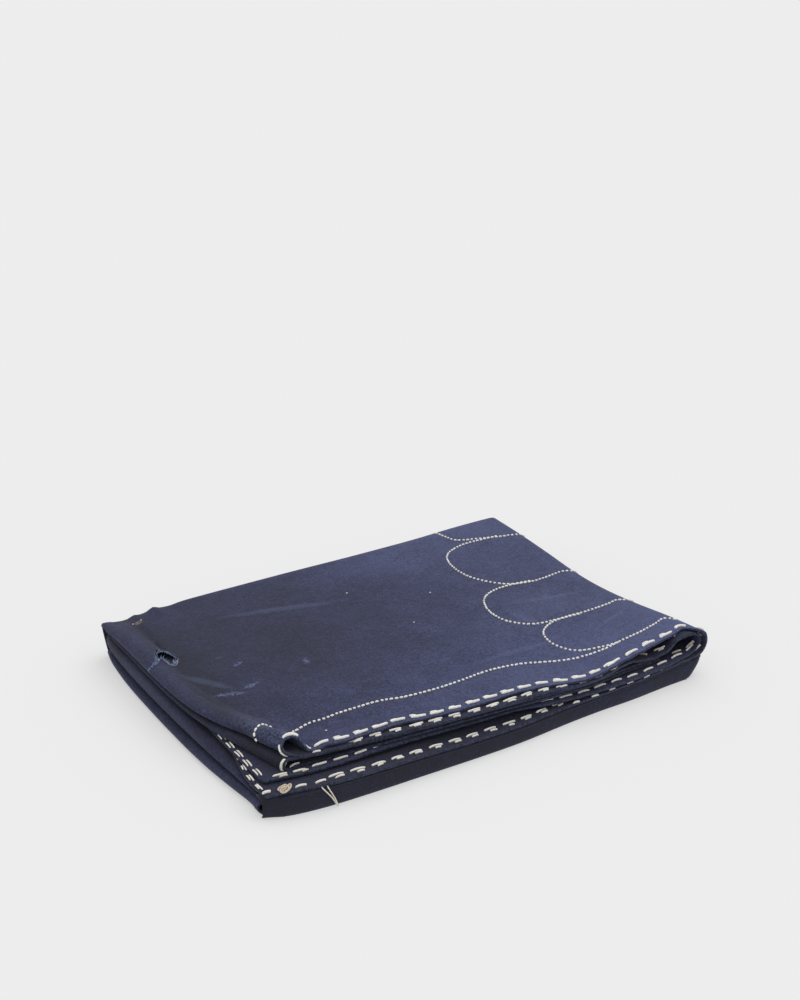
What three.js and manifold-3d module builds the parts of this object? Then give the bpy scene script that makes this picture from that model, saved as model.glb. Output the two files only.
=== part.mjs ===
// A folded wrapping cloth, in millimetres, +Z up.
// While it is built, x runs along the front from the left corner, y runs from the front
// to the back fold, and z starts at the surface that the cloth lies on.
import * as THREE from "three";
import { mergeVertices } from "three/addons/utils/BufferGeometryUtils.js";
import Module from "manifold-3d";

// Driving dimensions: the folded cloth and its sheet
const WIDTH = 350;
const DEPTH = 256;
const SHEET = 1.4;
const HALF_SHEET = SHEET / 2;
const INDIGO = 0x2a2c44;

// From its front edge a layer settles to its even height at the back over this length
const SETTLE_LENGTH = 80;

// How far a layer reaches into the wall that it joins, and how far behind the front wall
// the hidden layers start
const WALL_BITE = 0.9;
const INNER_SET_BACK = 4;

// The front wall stands this much over the layer that it closes
const WALL_OVER = 0.2;

// Places along the front where the layers were measured
const PLACE = [0, 45, 110, 190, 250, 290, 306, 322, 345];

// One row for each layer of the upper pile: middle height at the front edge at each place,
// how far the edge stands back from the front corner line there, and the share of the
// pile's height that the layer has reached at the back fold
const UPPER = {
  top: {
    front: [28.6, 28.4, 28.8, 28.6, 27.4, 31.6, 33.4, 34.8, 36.0],
    setBack: [32, 20, 9, 4.5, -1, 3.5, 5.5, 8, 11],
    backShare: 1,
  },
  second: {
    front: [25.6, 25.8, 26.3, 26.2, 24.9, 27.6, 24.6, 24.4, 30.5],
    setBack: [22, 13, 5.5, 1.5, -2.5, 3, 4, 5, 8],
    backShare: 0.78,
  },
  third: {
    front: [23.6, 23.6, 24.0, 23.4, 22.4, 22.2, 22.0, 22.0, 24.0],
    setBack: [20, 14, 8, 4, 1, 5, 6, 7, 9],
    backShare: 0.58,
  },
  fourth: {
    front: [21.6, 21.5, 21.6, 20.7, 19.9, 19.6, 19.5, 19.6, 21.5],
    setBack: [17, 12, 8, 4, 1, 5, 6, 7, 9],
    backShare: 0.38,
  },
  fifth: {
    front: [19.4, 19.4, 18.8, 17.1, 16.3, 16.6, 16.9, 17.5, 19.6],
    setBack: [16, 6.5, 6, 4, -2, -2.6, -1.8, -0.8, 2],
    backShare: 0.19,
  },
  sixth: {
    front: [14.6, 15.2, 13.7, 11.8, 12.2, 13.4, 14.0, 15.0, 16.8],
    setBack: [2, -7, -8.6, -8, -2.6, -1.6, -0.6, 0.4, 1.4],
    backShare: 0,
  },
};

// Heights at the back fold: the top layer and the lowest layer of the upper pile
const BACK_PLACE = [0, 60, 175, 260, 310, 350];
const BACK_TOP = [27.2, 30.2, 31.4, 32.4, 34.8, 36.2];
const BACK_SIXTH = [16.2, 16.6, 17, 17.2, 17.8, 18.4];

// Near the right edge the upper pile sags between the front loop and the back corner
const SAG = { depth: 5, middle: 128, reach: 68, from: 240, over: 90 };

// Slow waves keep the pile uneven; they grow with the height and away from the front
const WAVE = { height: 0.42, fullHeight: 30, fullDistance: 60 };

// The lower pile is closed at the front: its layers share the height under the upper pile
const LOWER_SHARE = { first: 1, second: 0.77, third: 0.52, fourth: 0.27, fifth: 0 };
const LOWER_DROP = 2;
const LIFT_REACH = 22;

// Where the front wall stands on the surface at each place, and its section: how far in
// from that line at each share of its height. Its right end is tucked in and leans out
const BAND_PLACE = [0, 16, 45, 110, 185, 235, 262, 290, 326, 347];
const BAND_SET_BACK = [1.2, -4.8, -8.6, -9.6, -9.1, -4.8, -3.2, -2.6, 0, 0.6];
const BAND_SECTION = [
  { inward: 0.8, share: 0.04 },
  { inward: 0.1, share: 0.15 },
  { inward: -0.3, share: 0.5 },
  { inward: 0.1, share: 0.86 },
  { inward: 1, share: 1 },
];
const BAND_ENDS = { left: 0.4, second: 8, right: WIDTH - 3, tuck: 4, lean: 0.75 };

// The back fold stands over the whole height, a little fuller at mid height
const BACK_SHARES = [0.02, 0.08, 0.25, 0.5, 0.75, 0.92, 1];
const BACK_FOLD = { tuck: 2.6, bulge: 3.4, roundness: 0.6, left: 1.2, second: 40, right: WIDTH - 1.5 };

// Left edges of the folds: x at each distance from the front
const LEFT = {
  at: [0, 15, 30, 50, 65, 85, 112, 150, 200, 240, 256],
  topRoll: [28, 28, 26.5, 19.5, 16, 8, 1.5, -1.5, -1.8, -2, -2.2],
  innerFold: [22, 21, 18, 14, 10.5, 6, 3.5, 4, 4, 4, 4],
  fifthEdge: [11, 9, 8.5, 8.8, 9, 9, 9.8, 10.5, 10.5, 10.5, 10.5],
  sixthEdge: [3.2, 1.6, 2.4, 6, 9.2, 10, 10.5, 11, 11, 11, 11],
  tallFold: [2.2, 2.2, 1.2, 0, -0.8, -1.6, -2.2, -2.6, -2.2, -1.2, 0],
  lowFold: [1.2, 1.2, -0.4, -2, -3, -3.8, -4.2, -4.2, -3.2, -1, 1],
};

// Right edges of the folds: x at each distance from the front
const RIGHT = {
  at: [0, 30, 70, 120, 180, 256],
  outerLoop: [359.4, 355.8, 350.8, 349.2, 350.6, 352],
  innerEnds: [322, 323, 324, 325, 326, 328],
  highFold: [356.6, 354, 350.4, 349, 350, 351],
  lowFold: [349.5, 348.5, 347.5, 347, 347.5, 348],
  base: [343.5, 343.8, 344, 344.3, 344.6, 345],
};

// The soft roll at the left edge of the top layer: half width and half height
const ROLL_AT = [0, 30, 60, 110, 160, 200, 256];
const ROLL_HALF_WIDTH = [7.4, 7, 6.6, 6, 6, 6.2, 5.5];
const ROLL_HALF_HEIGHT = [5.4, 5, 3.4, 2.4, 2.7, 2.8, 1.8];

// The tall plain fold under it: the height of its crown, and the crease below it
const TALL_AT = [0, 30, 50, 65, 90, 130, 200, 256];
const TALL_CROWN = [11.7, 11.9, 12.3, 13.4, 15.8, 17.9, 18.3, 17.6];
const CREASE_LIFT = [6.2, 4.6, 3.4, 2.6, 1.9, 1.2, 0.6, 0.6];

// The roll starts this far back, and turns from the top layer to the second through these
// angles, with the top layer's flat part starting a little way beside it
const ROLL_FRONT = 28;
const ROLL_ANGLES = [50, 80, 110, 145, 180, 215, 248];
const ROLL_RUN_OUT = 5;
const SECOND_START = 9;

// Folds and loops. A row is one point of a turn: how far in from the turn's edge it lies,
// and its height as a share of the way between two layers, plus a lift
const OUTER_LOOP = [
  { inward: 11, from: "sixth", to: "top", share: 0, lift: 0 },
  { inward: 4.2, from: "sixth", to: "top", share: 0, lift: 2.2 },
  { inward: 0.2, from: "sixth", to: "top", share: 0.42, lift: 0 },
  { inward: 0.9, from: "sixth", to: "top", share: 1, lift: -3.6 },
  { inward: 4.2, from: "sixth", to: "top", share: 1, lift: -0.4 },
  { inward: 13, from: "sixth", to: "top", share: 1, lift: 0 },
];
const INNER_LOOP = [
  { inward: 42, from: "second", to: "top", share: 0, lift: 0 },
  { inward: 32, from: "second", to: "top", share: 0.2, lift: 0 },
  { inward: 24, from: "second", to: "top", share: 1, lift: -3.6 },
  { inward: 15, from: "second", to: "top", share: 1, lift: -2.5 },
  { inward: 6.6, from: "second", to: "top", share: 1, lift: -2.9 },
  { inward: 3.2, from: "second", to: "top", share: 1, lift: -6 },
  { inward: 2.6, from: "sixth", to: "top", share: 0.42, lift: 0 },
  { inward: 6.2, from: "fifth", to: "top", share: 0, lift: 1.5 },
  { inward: 13, from: "fifth", to: "top", share: 0, lift: 0 },
];
const INNER_FOLD = [
  { inward: 3, from: "fourth", to: "third", share: 0, lift: 0 },
  { inward: 0.7, from: "fourth", to: "third", share: 0, lift: 0.35 },
  { inward: 0.7, from: "fourth", to: "third", share: 1, lift: -0.35 },
  { inward: 3, from: "fourth", to: "third", share: 1, lift: 0 },
];
const CLOSED_FOLD = [
  { inward: 3.5, from: "low", to: "high", share: 0, lift: 0 },
  { inward: 0, from: "low", to: "high", share: 0.18, lift: 0 },
  { inward: 0, from: "low", to: "high", share: 0.82, lift: 0 },
  { inward: 3.5, from: "low", to: "high", share: 1, lift: 0 },
];
const TALL_FOLD = [
  { inward: 5, from: "third", to: "crown", share: 0, lift: 0 },
  { inward: 0.9, from: "third", to: "crown", share: 0, lift: 0.5 },
  { inward: 0, from: "third", to: "crown", share: 0.5, lift: 0 },
  { inward: 1.2, from: "third", to: "crown", share: 1, lift: -0.6 },
  { inward: 4, from: "third", to: "crown", share: 1, lift: 0 },
  { inward: 7, from: "first", to: "crown", share: 0.72, lift: 0 },
];
const INNER_STEP = 4;
const INNER_FRONT = 18;
const FIFTH_FRONT = 10;

// Steps of the surfaces: places along the front, and shares of the way to the back
const STEPS = {
  open: [110, 185, 235, 262, 290, 304, 326],
  dipped: [110, 190, 245, 275, 295],
  hidden: [110, 250],
  band: [45, 110, 185, 235, 262, 290, 326],
};
const FIRST_LEFT = 14;
const LEFT_STEP = 0.35;
const INWARD = [0, 0.05, 0.12, 0.22, 0.35, 0.52, 0.7, 0.87, 1];

// A torn hole near the left roll: its middle, its uneven rim and the depth of the cut
const TEAR = { x: 17, y: 171, rim: [6.2, 8.4, 5.1, 7.6, 9.2, 5.4, 4.2, 7.2], under: 1.1, cut: 8 };

// A smooth curve through values given at rising stations
function through(stations, values, x) {
  const last = stations.length - 1;
  const clamped = Math.min(Math.max(x, stations[0]), stations[last]);
  let i = 0;
  while (i < last - 1 && clamped > stations[i + 1]) i += 1;
  const slope = (k) => {
    const before = Math.max(k - 1, 0);
    const after = Math.min(k + 1, last);
    return (values[after] - values[before]) / (stations[after] - stations[before]);
  };
  const span = stations[i + 1] - stations[i];
  const t = (clamped - stations[i]) / span;
  const t2 = t * t;
  const t3 = t2 * t;
  return (2 * t3 - 3 * t2 + 1) * values[i] + (t3 - 2 * t2 + t) * span * slope(i)
    + (3 * t2 - 2 * t3) * values[i + 1] + (t3 - t2) * span * slope(i + 1);
}

const mix = (a, b, t) => a + (b - a) * t;
const smooth = (t) => t * t * (3 - 2 * t);
const clamp01 = (t) => Math.min(Math.max(t, 0), 1);
const leftEdge = (name, y) => through(LEFT.at, LEFT[name], y);
const rightEdge = (name, y) => through(RIGHT.at, RIGHT[name], y);

// How far a place has settled from its front height to its back height
function settled(x, y, setBack) {
  return smooth(clamp01((y - through(PLACE, setBack, x)) / SETTLE_LENGTH));
}

function wave(x, y, z) {
  const swell = Math.sin(x / 47 + y / 83) + 0.7 * Math.sin(x / 29 - y / 61 + 1.3);
  const growth = clamp01(z / WAVE.fullHeight) * smooth(clamp01(y / WAVE.fullDistance));
  return WAVE.height * swell * growth;
}

function upperHeight(name, x, y) {
  const layer = UPPER[name];
  const front = through(PLACE, layer.front, x);
  const backLow = through(BACK_PLACE, BACK_SIXTH, x);
  const back = mix(backLow, through(BACK_PLACE, BACK_TOP, x), layer.backShare);
  const z = mix(front, back, settled(x, y, layer.setBack));
  const edge = smooth(clamp01((x - SAG.from) / SAG.over));
  const sag = SAG.depth * layer.backShare * edge * Math.exp(-(((y - SAG.middle) / SAG.reach) ** 2));
  return z + wave(x, y, z) - sag;
}

// The layers inside the lower pile are lifted by the crease under the tall left fold
function lowerHeight(name, x, y) {
  const ceiling = upperHeight("sixth", x, y) - LOWER_DROP;
  const nearLeft = Math.exp(-((Math.max(x, 0) / LIFT_REACH) ** 2));
  const inside = LOWER_SHARE[name] > 0 && LOWER_SHARE[name] < 1;
  const base = HALF_SHEET + (inside ? through(TALL_AT, CREASE_LIFT, y) * nearLeft : 0);
  return mix(base, ceiling, LOWER_SHARE[name]);
}

function backWall(z, x) {
  const share = Math.min(Math.max(z / upperHeight("top", x, DEPTH), 0.03), 0.97);
  return DEPTH - BACK_FOLD.tuck + BACK_FOLD.bulge * Math.sin(Math.PI * share) ** BACK_FOLD.roundness;
}

const frontWall = (x) => through(BAND_PLACE, BAND_SET_BACK, x);

// The distance from the front of a point that lies a share of the way to the back
const inwards = (front, share) => mix(front, DEPTH, share);

// A run of a layer from its left end to its right end, as points {x, z, front}
function run(height, setBack, left, right, share, steps) {
  const places = [left, mix(left, steps[0], LEFT_STEP), ...steps, right];
  return places.map((x) => {
    const front = setBack(x);
    return { x, z: height(x, inwards(front, share)), front };
  });
}

// A round turn through the rows of a fold's table, without its first and last point. The
// edge is the turn's outermost x, and side is 1 at a left edge and -1 at a right one
function turn(rows, edge, side, heights, setBack, steps) {
  const points = rows.map(({ inward, from, to, share, lift }) => (
    new THREE.Vector3(edge + side * inward, 0, mix(heights[from], heights[to], share) + lift)
  ));
  return smoothTurn(points, setBack, steps);
}

function smoothTurn(points, setBack, steps) {
  const curve = new THREE.CatmullRomCurve3(points);
  return curve.getPoints(steps).slice(1, -1).map(({ x, z }) => ({ x, z, front: setBack(x) }));
}

function upperRun(name, left, right, share, steps = STEPS.open) {
  const setBack = (x) => through(PLACE, UPPER[name].setBack, x);
  return run((x, y) => upperHeight(name, x, y), setBack, left, right, share, steps);
}

function lowerRun(name, left, right, share, bite = INNER_SET_BACK, steps = STEPS.hidden) {
  const setBack = (x) => frontWall(x) + bite;
  return run((x, y) => lowerHeight(name, x, y), setBack, left, right, share, steps);
}

// The outer strip: sixth layer, outer loop, top layer, left roll, second layer,
// inner loop and fifth layer
function outerStrip(share) {
  const y = share * DEPTH;
  const rollY = inwards(ROLL_FRONT, share);
  const loop = rightEdge("outerLoop", y);
  const rollLeft = leftEdge("topRoll", rollY);
  const topLeft = rollLeft + 2 * through(ROLL_AT, ROLL_HALF_WIDTH, rollY) + ROLL_RUN_OUT;
  const fifthLeft = leftEdge("fifthEdge", inwards(FIFTH_FRONT, share));
  const end = (rows, i) => loop - rows.at(i).inward;
  const sixth = upperRun("sixth", leftEdge("sixthEdge", y), end(OUTER_LOOP, 0), share);
  const top = upperRun("top", topLeft, end(OUTER_LOOP, -1), share);
  const second = upperRun("second", rollLeft + SECOND_START, end(INNER_LOOP, 0), share, STEPS.dipped);
  const fifth = upperRun("fifth", fifthLeft, end(INNER_LOOP, -1), share);
  const heights = {
    sixth: sixth.at(-1).z,
    top: top.at(-1).z,
    second: second.at(-1).z,
    fifth: fifth.at(-1).z,
  };
  const outer = turn(OUTER_LOOP, loop, -1, heights, () => sixth.at(-1).front, 10);
  const inner = turn(INNER_LOOP, loop, -1, heights, () => second.at(-1).front, 18);
  return [
    ...sixth,
    ...outer,
    ...top.reverse(),
    ...leftRoll(top.at(-1), second[0], rollY),
    ...second,
    ...inner,
    ...fifth.reverse(),
  ];
}

// The open roll that joins the top layer to the second at the left
function leftRoll(start, end, y) {
  const halfWidth = through(ROLL_AT, ROLL_HALF_WIDTH, y);
  const halfHeight = through(ROLL_AT, ROLL_HALF_HEIGHT, y);
  const middle = { x: leftEdge("topRoll", y) + halfWidth, z: end.z + halfHeight };
  return ROLL_ANGLES.map((degrees, i) => {
    const angle = THREE.MathUtils.degToRad(degrees);
    return {
      x: middle.x + halfWidth * Math.cos(angle),
      z: middle.z + halfHeight * Math.sin(angle),
      front: mix(start.front, end.front, i / (ROLL_ANGLES.length - 1)),
    };
  });
}

// The inner strip: fourth layer, left fold, third layer, both free at the right
function innerStrip(share) {
  const left = leftEdge("innerFold", inwards(INNER_FRONT, share));
  const start = left + INNER_FOLD[0].inward;
  const right = rightEdge("innerEnds", share * DEPTH);
  const fourth = upperRun("fourth", start, right, share, STEPS.hidden);
  const third = upperRun("third", start, right - INNER_STEP, share, STEPS.hidden);
  const heights = { fourth: fourth[0].z, third: third[0].z };
  const fold = turn(INNER_FOLD, left, 1, heights, () => fourth[0].front, 5);
  return [...fourth.reverse(), ...fold, ...third];
}

// The lower strip: fifth layer on the floor, low left fold, fourth, right fold, third,
// tall left fold, first, right fold and second
function lowerStrip(share) {
  const y = share * DEPTH;
  const low = leftEdge("lowFold", y);
  const tall = leftEdge("tallFold", y);
  const highRight = rightEdge("highFold", y);
  const lowRight = rightEdge("lowFold", y);
  const tuck = CLOSED_FOLD[0].inward;
  const fifth = lowerRun("fifth", low + tuck, rightEdge("base", y), share, WALL_BITE, STEPS.band);
  const fourth = lowerRun("fourth", low + tuck, lowRight - tuck, share);
  const third = lowerRun("third", tall + TALL_FOLD[0].inward, lowRight - tuck, share);
  const first = lowerRun("first", FIRST_LEFT, highRight - tuck, share, WALL_BITE, STEPS.band);
  const second = lowerRun("second", FIRST_LEFT, highRight - tuck, share);
  const behindWall = (x) => frontWall(x) + WALL_BITE;
  const closedFold = (from, to, edge, side) => (
    turn(CLOSED_FOLD, edge, side, { low: from.z, high: to.z }, behindWall, 6)
  );
  const tallHeights = {
    third: third[0].z,
    first: first[0].z,
    crown: through(TALL_AT, TALL_CROWN, y),
  };
  const tallFold = turn(
    [...TALL_FOLD, { inward: FIRST_LEFT - tall, from: "first", to: "crown", share: 0, lift: 0 }],
    tall, 1, tallHeights, behindWall, 12,
  );
  return [
    ...fifth.reverse(),
    ...closedFold(fifth.at(-1), fourth[0], low, 1),
    ...fourth,
    ...closedFold(fourth.at(-1), third.at(-1), lowRight, -1),
    ...third.reverse(),
    ...tallFold,
    ...first,
    ...closedFold(first.at(-1), second.at(-1), highRight, -1),
    ...second.reverse(),
  ];
}

// Two points beside each point of a line, half a sheet away on either side
function bothSides(line) {
  const count = line.length;
  return line.map((point, i) => {
    const before = line[Math.max(i - 1, 0)];
    const after = line[Math.min(i + 1, count - 1)];
    const dx = after.x - before.x;
    const dz = after.z - before.z;
    const length = Math.hypot(dx, dz);
    const nx = -dz / length * HALF_SHEET;
    const nz = dx / length * HALF_SHEET;
    return [
      { ...point, x: point.x + nx, z: point.z + nz },
      { ...point, x: point.x - nx, z: point.z - nz },
    ];
  });
}

// A closed sheet from its section at several distances from the front
function sheetSolid(strip) {
  const rings = INWARD.map((share) => {
    const sides = bothSides(strip(share));
    const ring = [...sides.map((side) => side[0]), ...sides.map((side) => side[1]).reverse()];
    return ring.map((point) => {
      const back = backWall(point.z, point.x) - WALL_BITE;
      return new THREE.Vector3(point.x, mix(point.front, back, share), Math.max(point.z, 0));
    });
  });
  return closedLoft(rings);
}

// Faces between neighbouring rings, and a cover on the first and the last ring that
// pairs the two sides of the sheet
function closedLoft(rings) {
  const size = rings[0].length;
  const positions = rings.flat().flatMap((point) => [point.x, point.y, point.z]);
  const faces = [];
  const quad = (a, b, c, d) => faces.push(a, b, c, a, c, d);
  for (let row = 0; row < rings.length - 1; row += 1) {
    for (let i = 0; i < size; i += 1) {
      const next = (i + 1) % size;
      quad(row * size + i, row * size + next, (row + 1) * size + next, (row + 1) * size + i);
    }
  }
  const lastRow = (rings.length - 1) * size;
  for (let i = 0; i < size / 2 - 1; i += 1) {
    const across = size - 1 - i;
    quad(i, across, across - 1, i + 1);
    quad(lastRow + i, lastRow + i + 1, lastRow + across - 1, lastRow + across);
  }
  const geometry = new THREE.BufferGeometry();
  geometry.setAttribute("position", new THREE.Float32BufferAttribute(positions, 3));
  geometry.setIndex(faces);
  return geometry;
}

// An upright wall of one sheet along x: outline(x) gives its outer face from the floor
// up as [y, z] pairs, and inward is the side on which its thickness lies
function wallSolid(stations, outline, inward) {
  const rings = stations.map((x) => {
    const outer = outline(x);
    const inner = outer.map(([y, z]) => [y + inward * SHEET, z]).reverse();
    return [...outer, ...inner].map(([y, z]) => new THREE.Vector3(x, y, z));
  });
  return closedLoft(inward > 0 ? rings.reverse() : rings);
}

function frontBand() {
  const { left, second, right, tuck, lean } = BAND_ENDS;
  const stations = [left, second, FIRST_LEFT, mix(FIRST_LEFT, STEPS.band[0], LEFT_STEP), ...STEPS.band];
  const wall = wallSolid([...stations, right], (x) => {
    const y = frontWall(x);
    const height = lowerHeight("first", x, y) + HALF_SHEET + WALL_OVER;
    return BAND_SECTION.map(({ inward, share }) => [y + inward, share * height]);
  }, 1);
  const position = wall.getAttribute("position");
  for (let i = 0; i < position.count; i += 1) {
    const share = clamp01(2 * position.getX(i) / WIDTH - 1) ** 3;
    position.setX(i, position.getX(i) + share * (lean * position.getZ(i) - tuck));
  }
  return wall;
}

function backFold() {
  const { left, second, right } = BACK_FOLD;
  return wallSolid([left, second, ...STEPS.open, right], (x) => {
    const height = upperHeight("top", x, DEPTH);
    return BACK_SHARES.map((share) => [backWall(share * height, x), share * height]);
  }, -1);
}

function tearCutter() {
  const outline = new THREE.Shape(TEAR.rim.map((radius, i) => {
    const angle = i / TEAR.rim.length * 2 * Math.PI;
    return new THREE.Vector2(TEAR.x + radius * Math.cos(angle), TEAR.y + radius * Math.sin(angle));
  }));
  const cutter = new THREE.ExtrudeGeometry(outline, { depth: TEAR.cut, bevelEnabled: false });
  cutter.translate(0, 0, upperHeight("top", TEAR.x, TEAR.y) - TEAR.under);
  return cutter;
}

const wasm = await Module();
wasm.setup();

function toSolid(geometry) {
  const bare = new THREE.BufferGeometry();
  bare.setAttribute("position", geometry.getAttribute("position"));
  bare.setIndex(geometry.getIndex());
  const merged = mergeVertices(bare, 1e-5);
  return new wasm.Manifold(new wasm.Mesh({
    numProp: 3,
    vertProperties: new Float32Array(merged.getAttribute("position").array),
    triVerts: new Uint32Array(merged.getIndex().array),
  }));
}

function toGeometry(solid) {
  const mesh = solid.getMesh();
  const geometry = new THREE.BufferGeometry();
  geometry.setAttribute("position", new THREE.BufferAttribute(mesh.vertProperties, 3));
  geometry.setIndex(new THREE.BufferAttribute(mesh.triVerts, 1));
  return geometry;
}

function foldedCloth() {
  const upper = toSolid(sheetSolid(outerStrip)).subtract(toSolid(tearCutter()));
  const whole = [innerStrip, lowerStrip].map((strip) => toSolid(sheetSolid(strip)))
    .concat([frontBand(), backFold()].map(toSolid))
    .reduce((sum, piece) => sum.add(piece), upper);
  const geometry = toGeometry(whole);
  geometry.computeBoundingBox();
  const { min, max } = geometry.boundingBox;
  geometry.computeVertexNormals();
  const indigo = new THREE.MeshStandardMaterial({ color: INDIGO, roughness: 0.9, metalness: 0 });
  const cloth = new THREE.Mesh(geometry, indigo);
  cloth.name = "folded_cloth";
  cloth.position.set(-(min.x + max.x) / 2, -(min.y + max.y) / 2, -min.z);
  return cloth;
}

const group = new THREE.Group();
group.add(foldedCloth());

export default group;
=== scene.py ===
import math

import bmesh
import bpy
import numpy as np
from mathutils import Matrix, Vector, noise


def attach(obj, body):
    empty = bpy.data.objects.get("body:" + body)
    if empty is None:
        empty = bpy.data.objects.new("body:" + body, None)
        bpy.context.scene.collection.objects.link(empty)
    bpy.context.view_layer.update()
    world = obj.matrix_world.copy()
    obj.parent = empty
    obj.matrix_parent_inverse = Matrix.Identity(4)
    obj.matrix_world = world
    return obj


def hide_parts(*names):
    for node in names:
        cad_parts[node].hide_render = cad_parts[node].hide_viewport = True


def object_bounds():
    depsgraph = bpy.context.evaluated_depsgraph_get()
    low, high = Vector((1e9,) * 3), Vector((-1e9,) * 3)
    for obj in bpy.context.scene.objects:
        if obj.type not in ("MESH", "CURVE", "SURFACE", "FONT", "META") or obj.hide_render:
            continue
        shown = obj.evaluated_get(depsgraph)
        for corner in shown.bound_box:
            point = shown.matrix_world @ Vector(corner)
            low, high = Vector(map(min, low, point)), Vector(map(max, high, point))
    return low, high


bl_info = {
    "name": "Folded furoshiki",
    "version": (1, 0, 0),
    "blender": (4, 5, 0),
    "location": "View3D > Sidebar > Furoshiki",
    "description": "A folded indigo wrapping cloth with running-stitched hems and sashiko scallops",
    "category": "Object",
}

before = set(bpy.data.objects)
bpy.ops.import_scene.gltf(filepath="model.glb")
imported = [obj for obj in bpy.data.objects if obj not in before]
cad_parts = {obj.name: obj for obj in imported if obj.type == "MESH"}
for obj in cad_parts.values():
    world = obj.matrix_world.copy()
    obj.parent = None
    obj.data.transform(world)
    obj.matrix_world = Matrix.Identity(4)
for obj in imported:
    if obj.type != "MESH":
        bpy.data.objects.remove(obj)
CAD_LOW, CAD_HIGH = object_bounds()
CLOTH_NODE = "folded_cloth"

# Fold maths is in millimetres, with x along the front from the left corner, y from the
# front to the back fold and z up from the surface that the cloth lies on. The left folds
# and the front wall stand out past the corner, which places the corner in the frame.
MM = 0.001
FOLD_OUT = 5.355
BAND_OUT = 9.9
CORNER = Vector((CAD_LOW.x + FOLD_OUT * MM, CAD_LOW.y + BAND_OUT * MM, CAD_LOW.z))

# The folded cloth as its solid has it, how far behind the front its plies settle to their
# heights at the back, and the places along x where the front is given
WIDTH = 350
DEPTH = 256
SETTLE_LENGTH = 80
PLACE = (0, 45, 110, 190, 250, 290, 306, 322, 345)

# Upper pile, top ply first: middle height at the front edge at each place, how far the edge
# stands back from the front corner line there, and the share of the pile's height at the back
UPPER = {
    "top": {
        "front": (28.6, 28.2, 28.8, 28.6, 27.4, 31.6, 33.4, 34.8, 36.0),
        "set_back": (32, 20, 9, 4.5, -1, 3.5, 5.5, 8, 11),
        "back_share": 1,
    },
    "second": {
        "front": (25.6, 25.8, 26.3, 26.2, 24.9, 27.6, 24.6, 24.4, 30.5),
        "set_back": (22, 13, 5.5, 1.5, -2.5, 3, 4, 5, 8),
        "back_share": 0.78,
    },
    "third": {
        "front": (24.8, 24.7, 24.3, 23.4, 22.4, 22.2, 22.0, 22.0, 24.0),
        "set_back": (23, 15, 8, 4, 1, 5, 6, 7, 9),
        "back_share": 0.58,
    },
    "fourth": {
        "front": (17.9, 19.1, 21.1, 20.7, 19.9, 19.6, 19.5, 19.6, 21.5),
        "set_back": (23, 15, 8, 4, 1, 5, 6, 7, 9),
        "back_share": 0.38,
    },
    "fifth": {
        "front": (17.1, 18.1, 18.6, 17.1, 16.3, 16.6, 16.9, 17.5, 19.6),
        "set_back": (14, 6.3, 6, 4, -2, -2.6, -1.8, -0.8, 2),
        "back_share": 0.19,
    },
    "sixth": {
        "front": (14.6, 15.2, 13.7, 11.8, 12.2, 13.4, 14.0, 15.0, 16.8),
        "set_back": (2, -7, -8.6, -8, -2.6, -1.6, -0.6, 0.4, 1.4),
        "back_share": 0,
    },
}

# Heights of the top and the sixth ply at the back, the hollow of the upper plies near the
# right, and the slow waves all over
BACK_PLACE = (0, 60, 175, 260, 310, 350)
BACK_TOP = (27.2, 30.2, 31.4, 32.4, 34.8, 36.2)
BACK_SIXTH = (16.2, 16.6, 17, 17.2, 17.8, 18.4)
SAG = {"depth": 5, "middle": 128, "reach": 68, "from": 240, "over": 90}
WAVE = {"height": 0.42, "full_height": 30, "full_distance": 60}

# Lower pile: the height of its lowest ply, the share of the way from there to the ceiling
# that each ply lies at, how far the ceiling lies under the sixth ply, how far from the left
# the crease of the left folds lifts the plies, and how far behind the wall they all start
BASE_HEIGHT = 0.9
LOWER_SHARE = {"first": 1, "second": 0.77, "third": 0.52, "fourth": 0.27, "fifth": 0}
LOWER_DROP = 2
LIFT_REACH = 22
BITE = {"ply": 0.8, "fold": 1.2, "inner_ply": 4}

# The wall that closes the lower pile at the front: how far it stands back from the corner
# line along x, or out where negative; its ends; the rows of its face as share of the height
# and way in; and the rows that it goes on over the first ply, as way in and drop. The
# lowest row of the wall, as of the back fold, is at LOW_EDGE.
BAND_PLACE = (0, 16, 45, 110, 185, 235, 262, 290, 326, 347)
BAND_SET_BACK = (1.2, -4.8, -8.6, -9.6, -9.1, -4.8, -3.2, -2.6, 0, 0.6)
BAND_ENDS = {"left": 0.4, "right": WIDTH - 2, "tuck": 4, "lean": 0.78}
BAND_COLUMNS = 90
BAND_FACE = (
    (0, 1.6), (0.04, 0.9), (0.12, 0.45), (0.26, 0.15), (0.42, 0.1), (0.58, 0.12), (0.74, 0.3),
    (0.88, 0.75), (0.96, 1.5),
)
BAND_TOP = ((2.6, 0.05), (5, 0), (9, -0.05))
BAND_COVER = {"up": 0.2, "in": 0.3, "behind": -20}
LOW_EDGE = 0.5

# The closed fold at the back: its form, and its rows as share of the height and of the way
# out. Its low edge wavers, by size, length and phase. It hangs from the top ply's columns,
# which start and end so many columns into two stretches of the outer strip.
BACK_FOLD = {"tuck": 2.6, "bulge": 3.4, "roundness": 0.6, "slip": 4, "slip_reach": 40}
BACK_ROWS = (
    (1, 0), (0.985, 0.42), (0.94, 0.74), (0.86, 0.92), (0.72, 1), (0.55, 1), (0.38, 0.96),
    (0.22, 0.84), (0.1, 0.6), (0.03, 0.2),
)
BACK_WAVER = ((0.3, 31, 0), (0.25, 13, 2))
BACK_COLUMNS_PAST = {"outer_loop": 9, "roll": 22}

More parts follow.
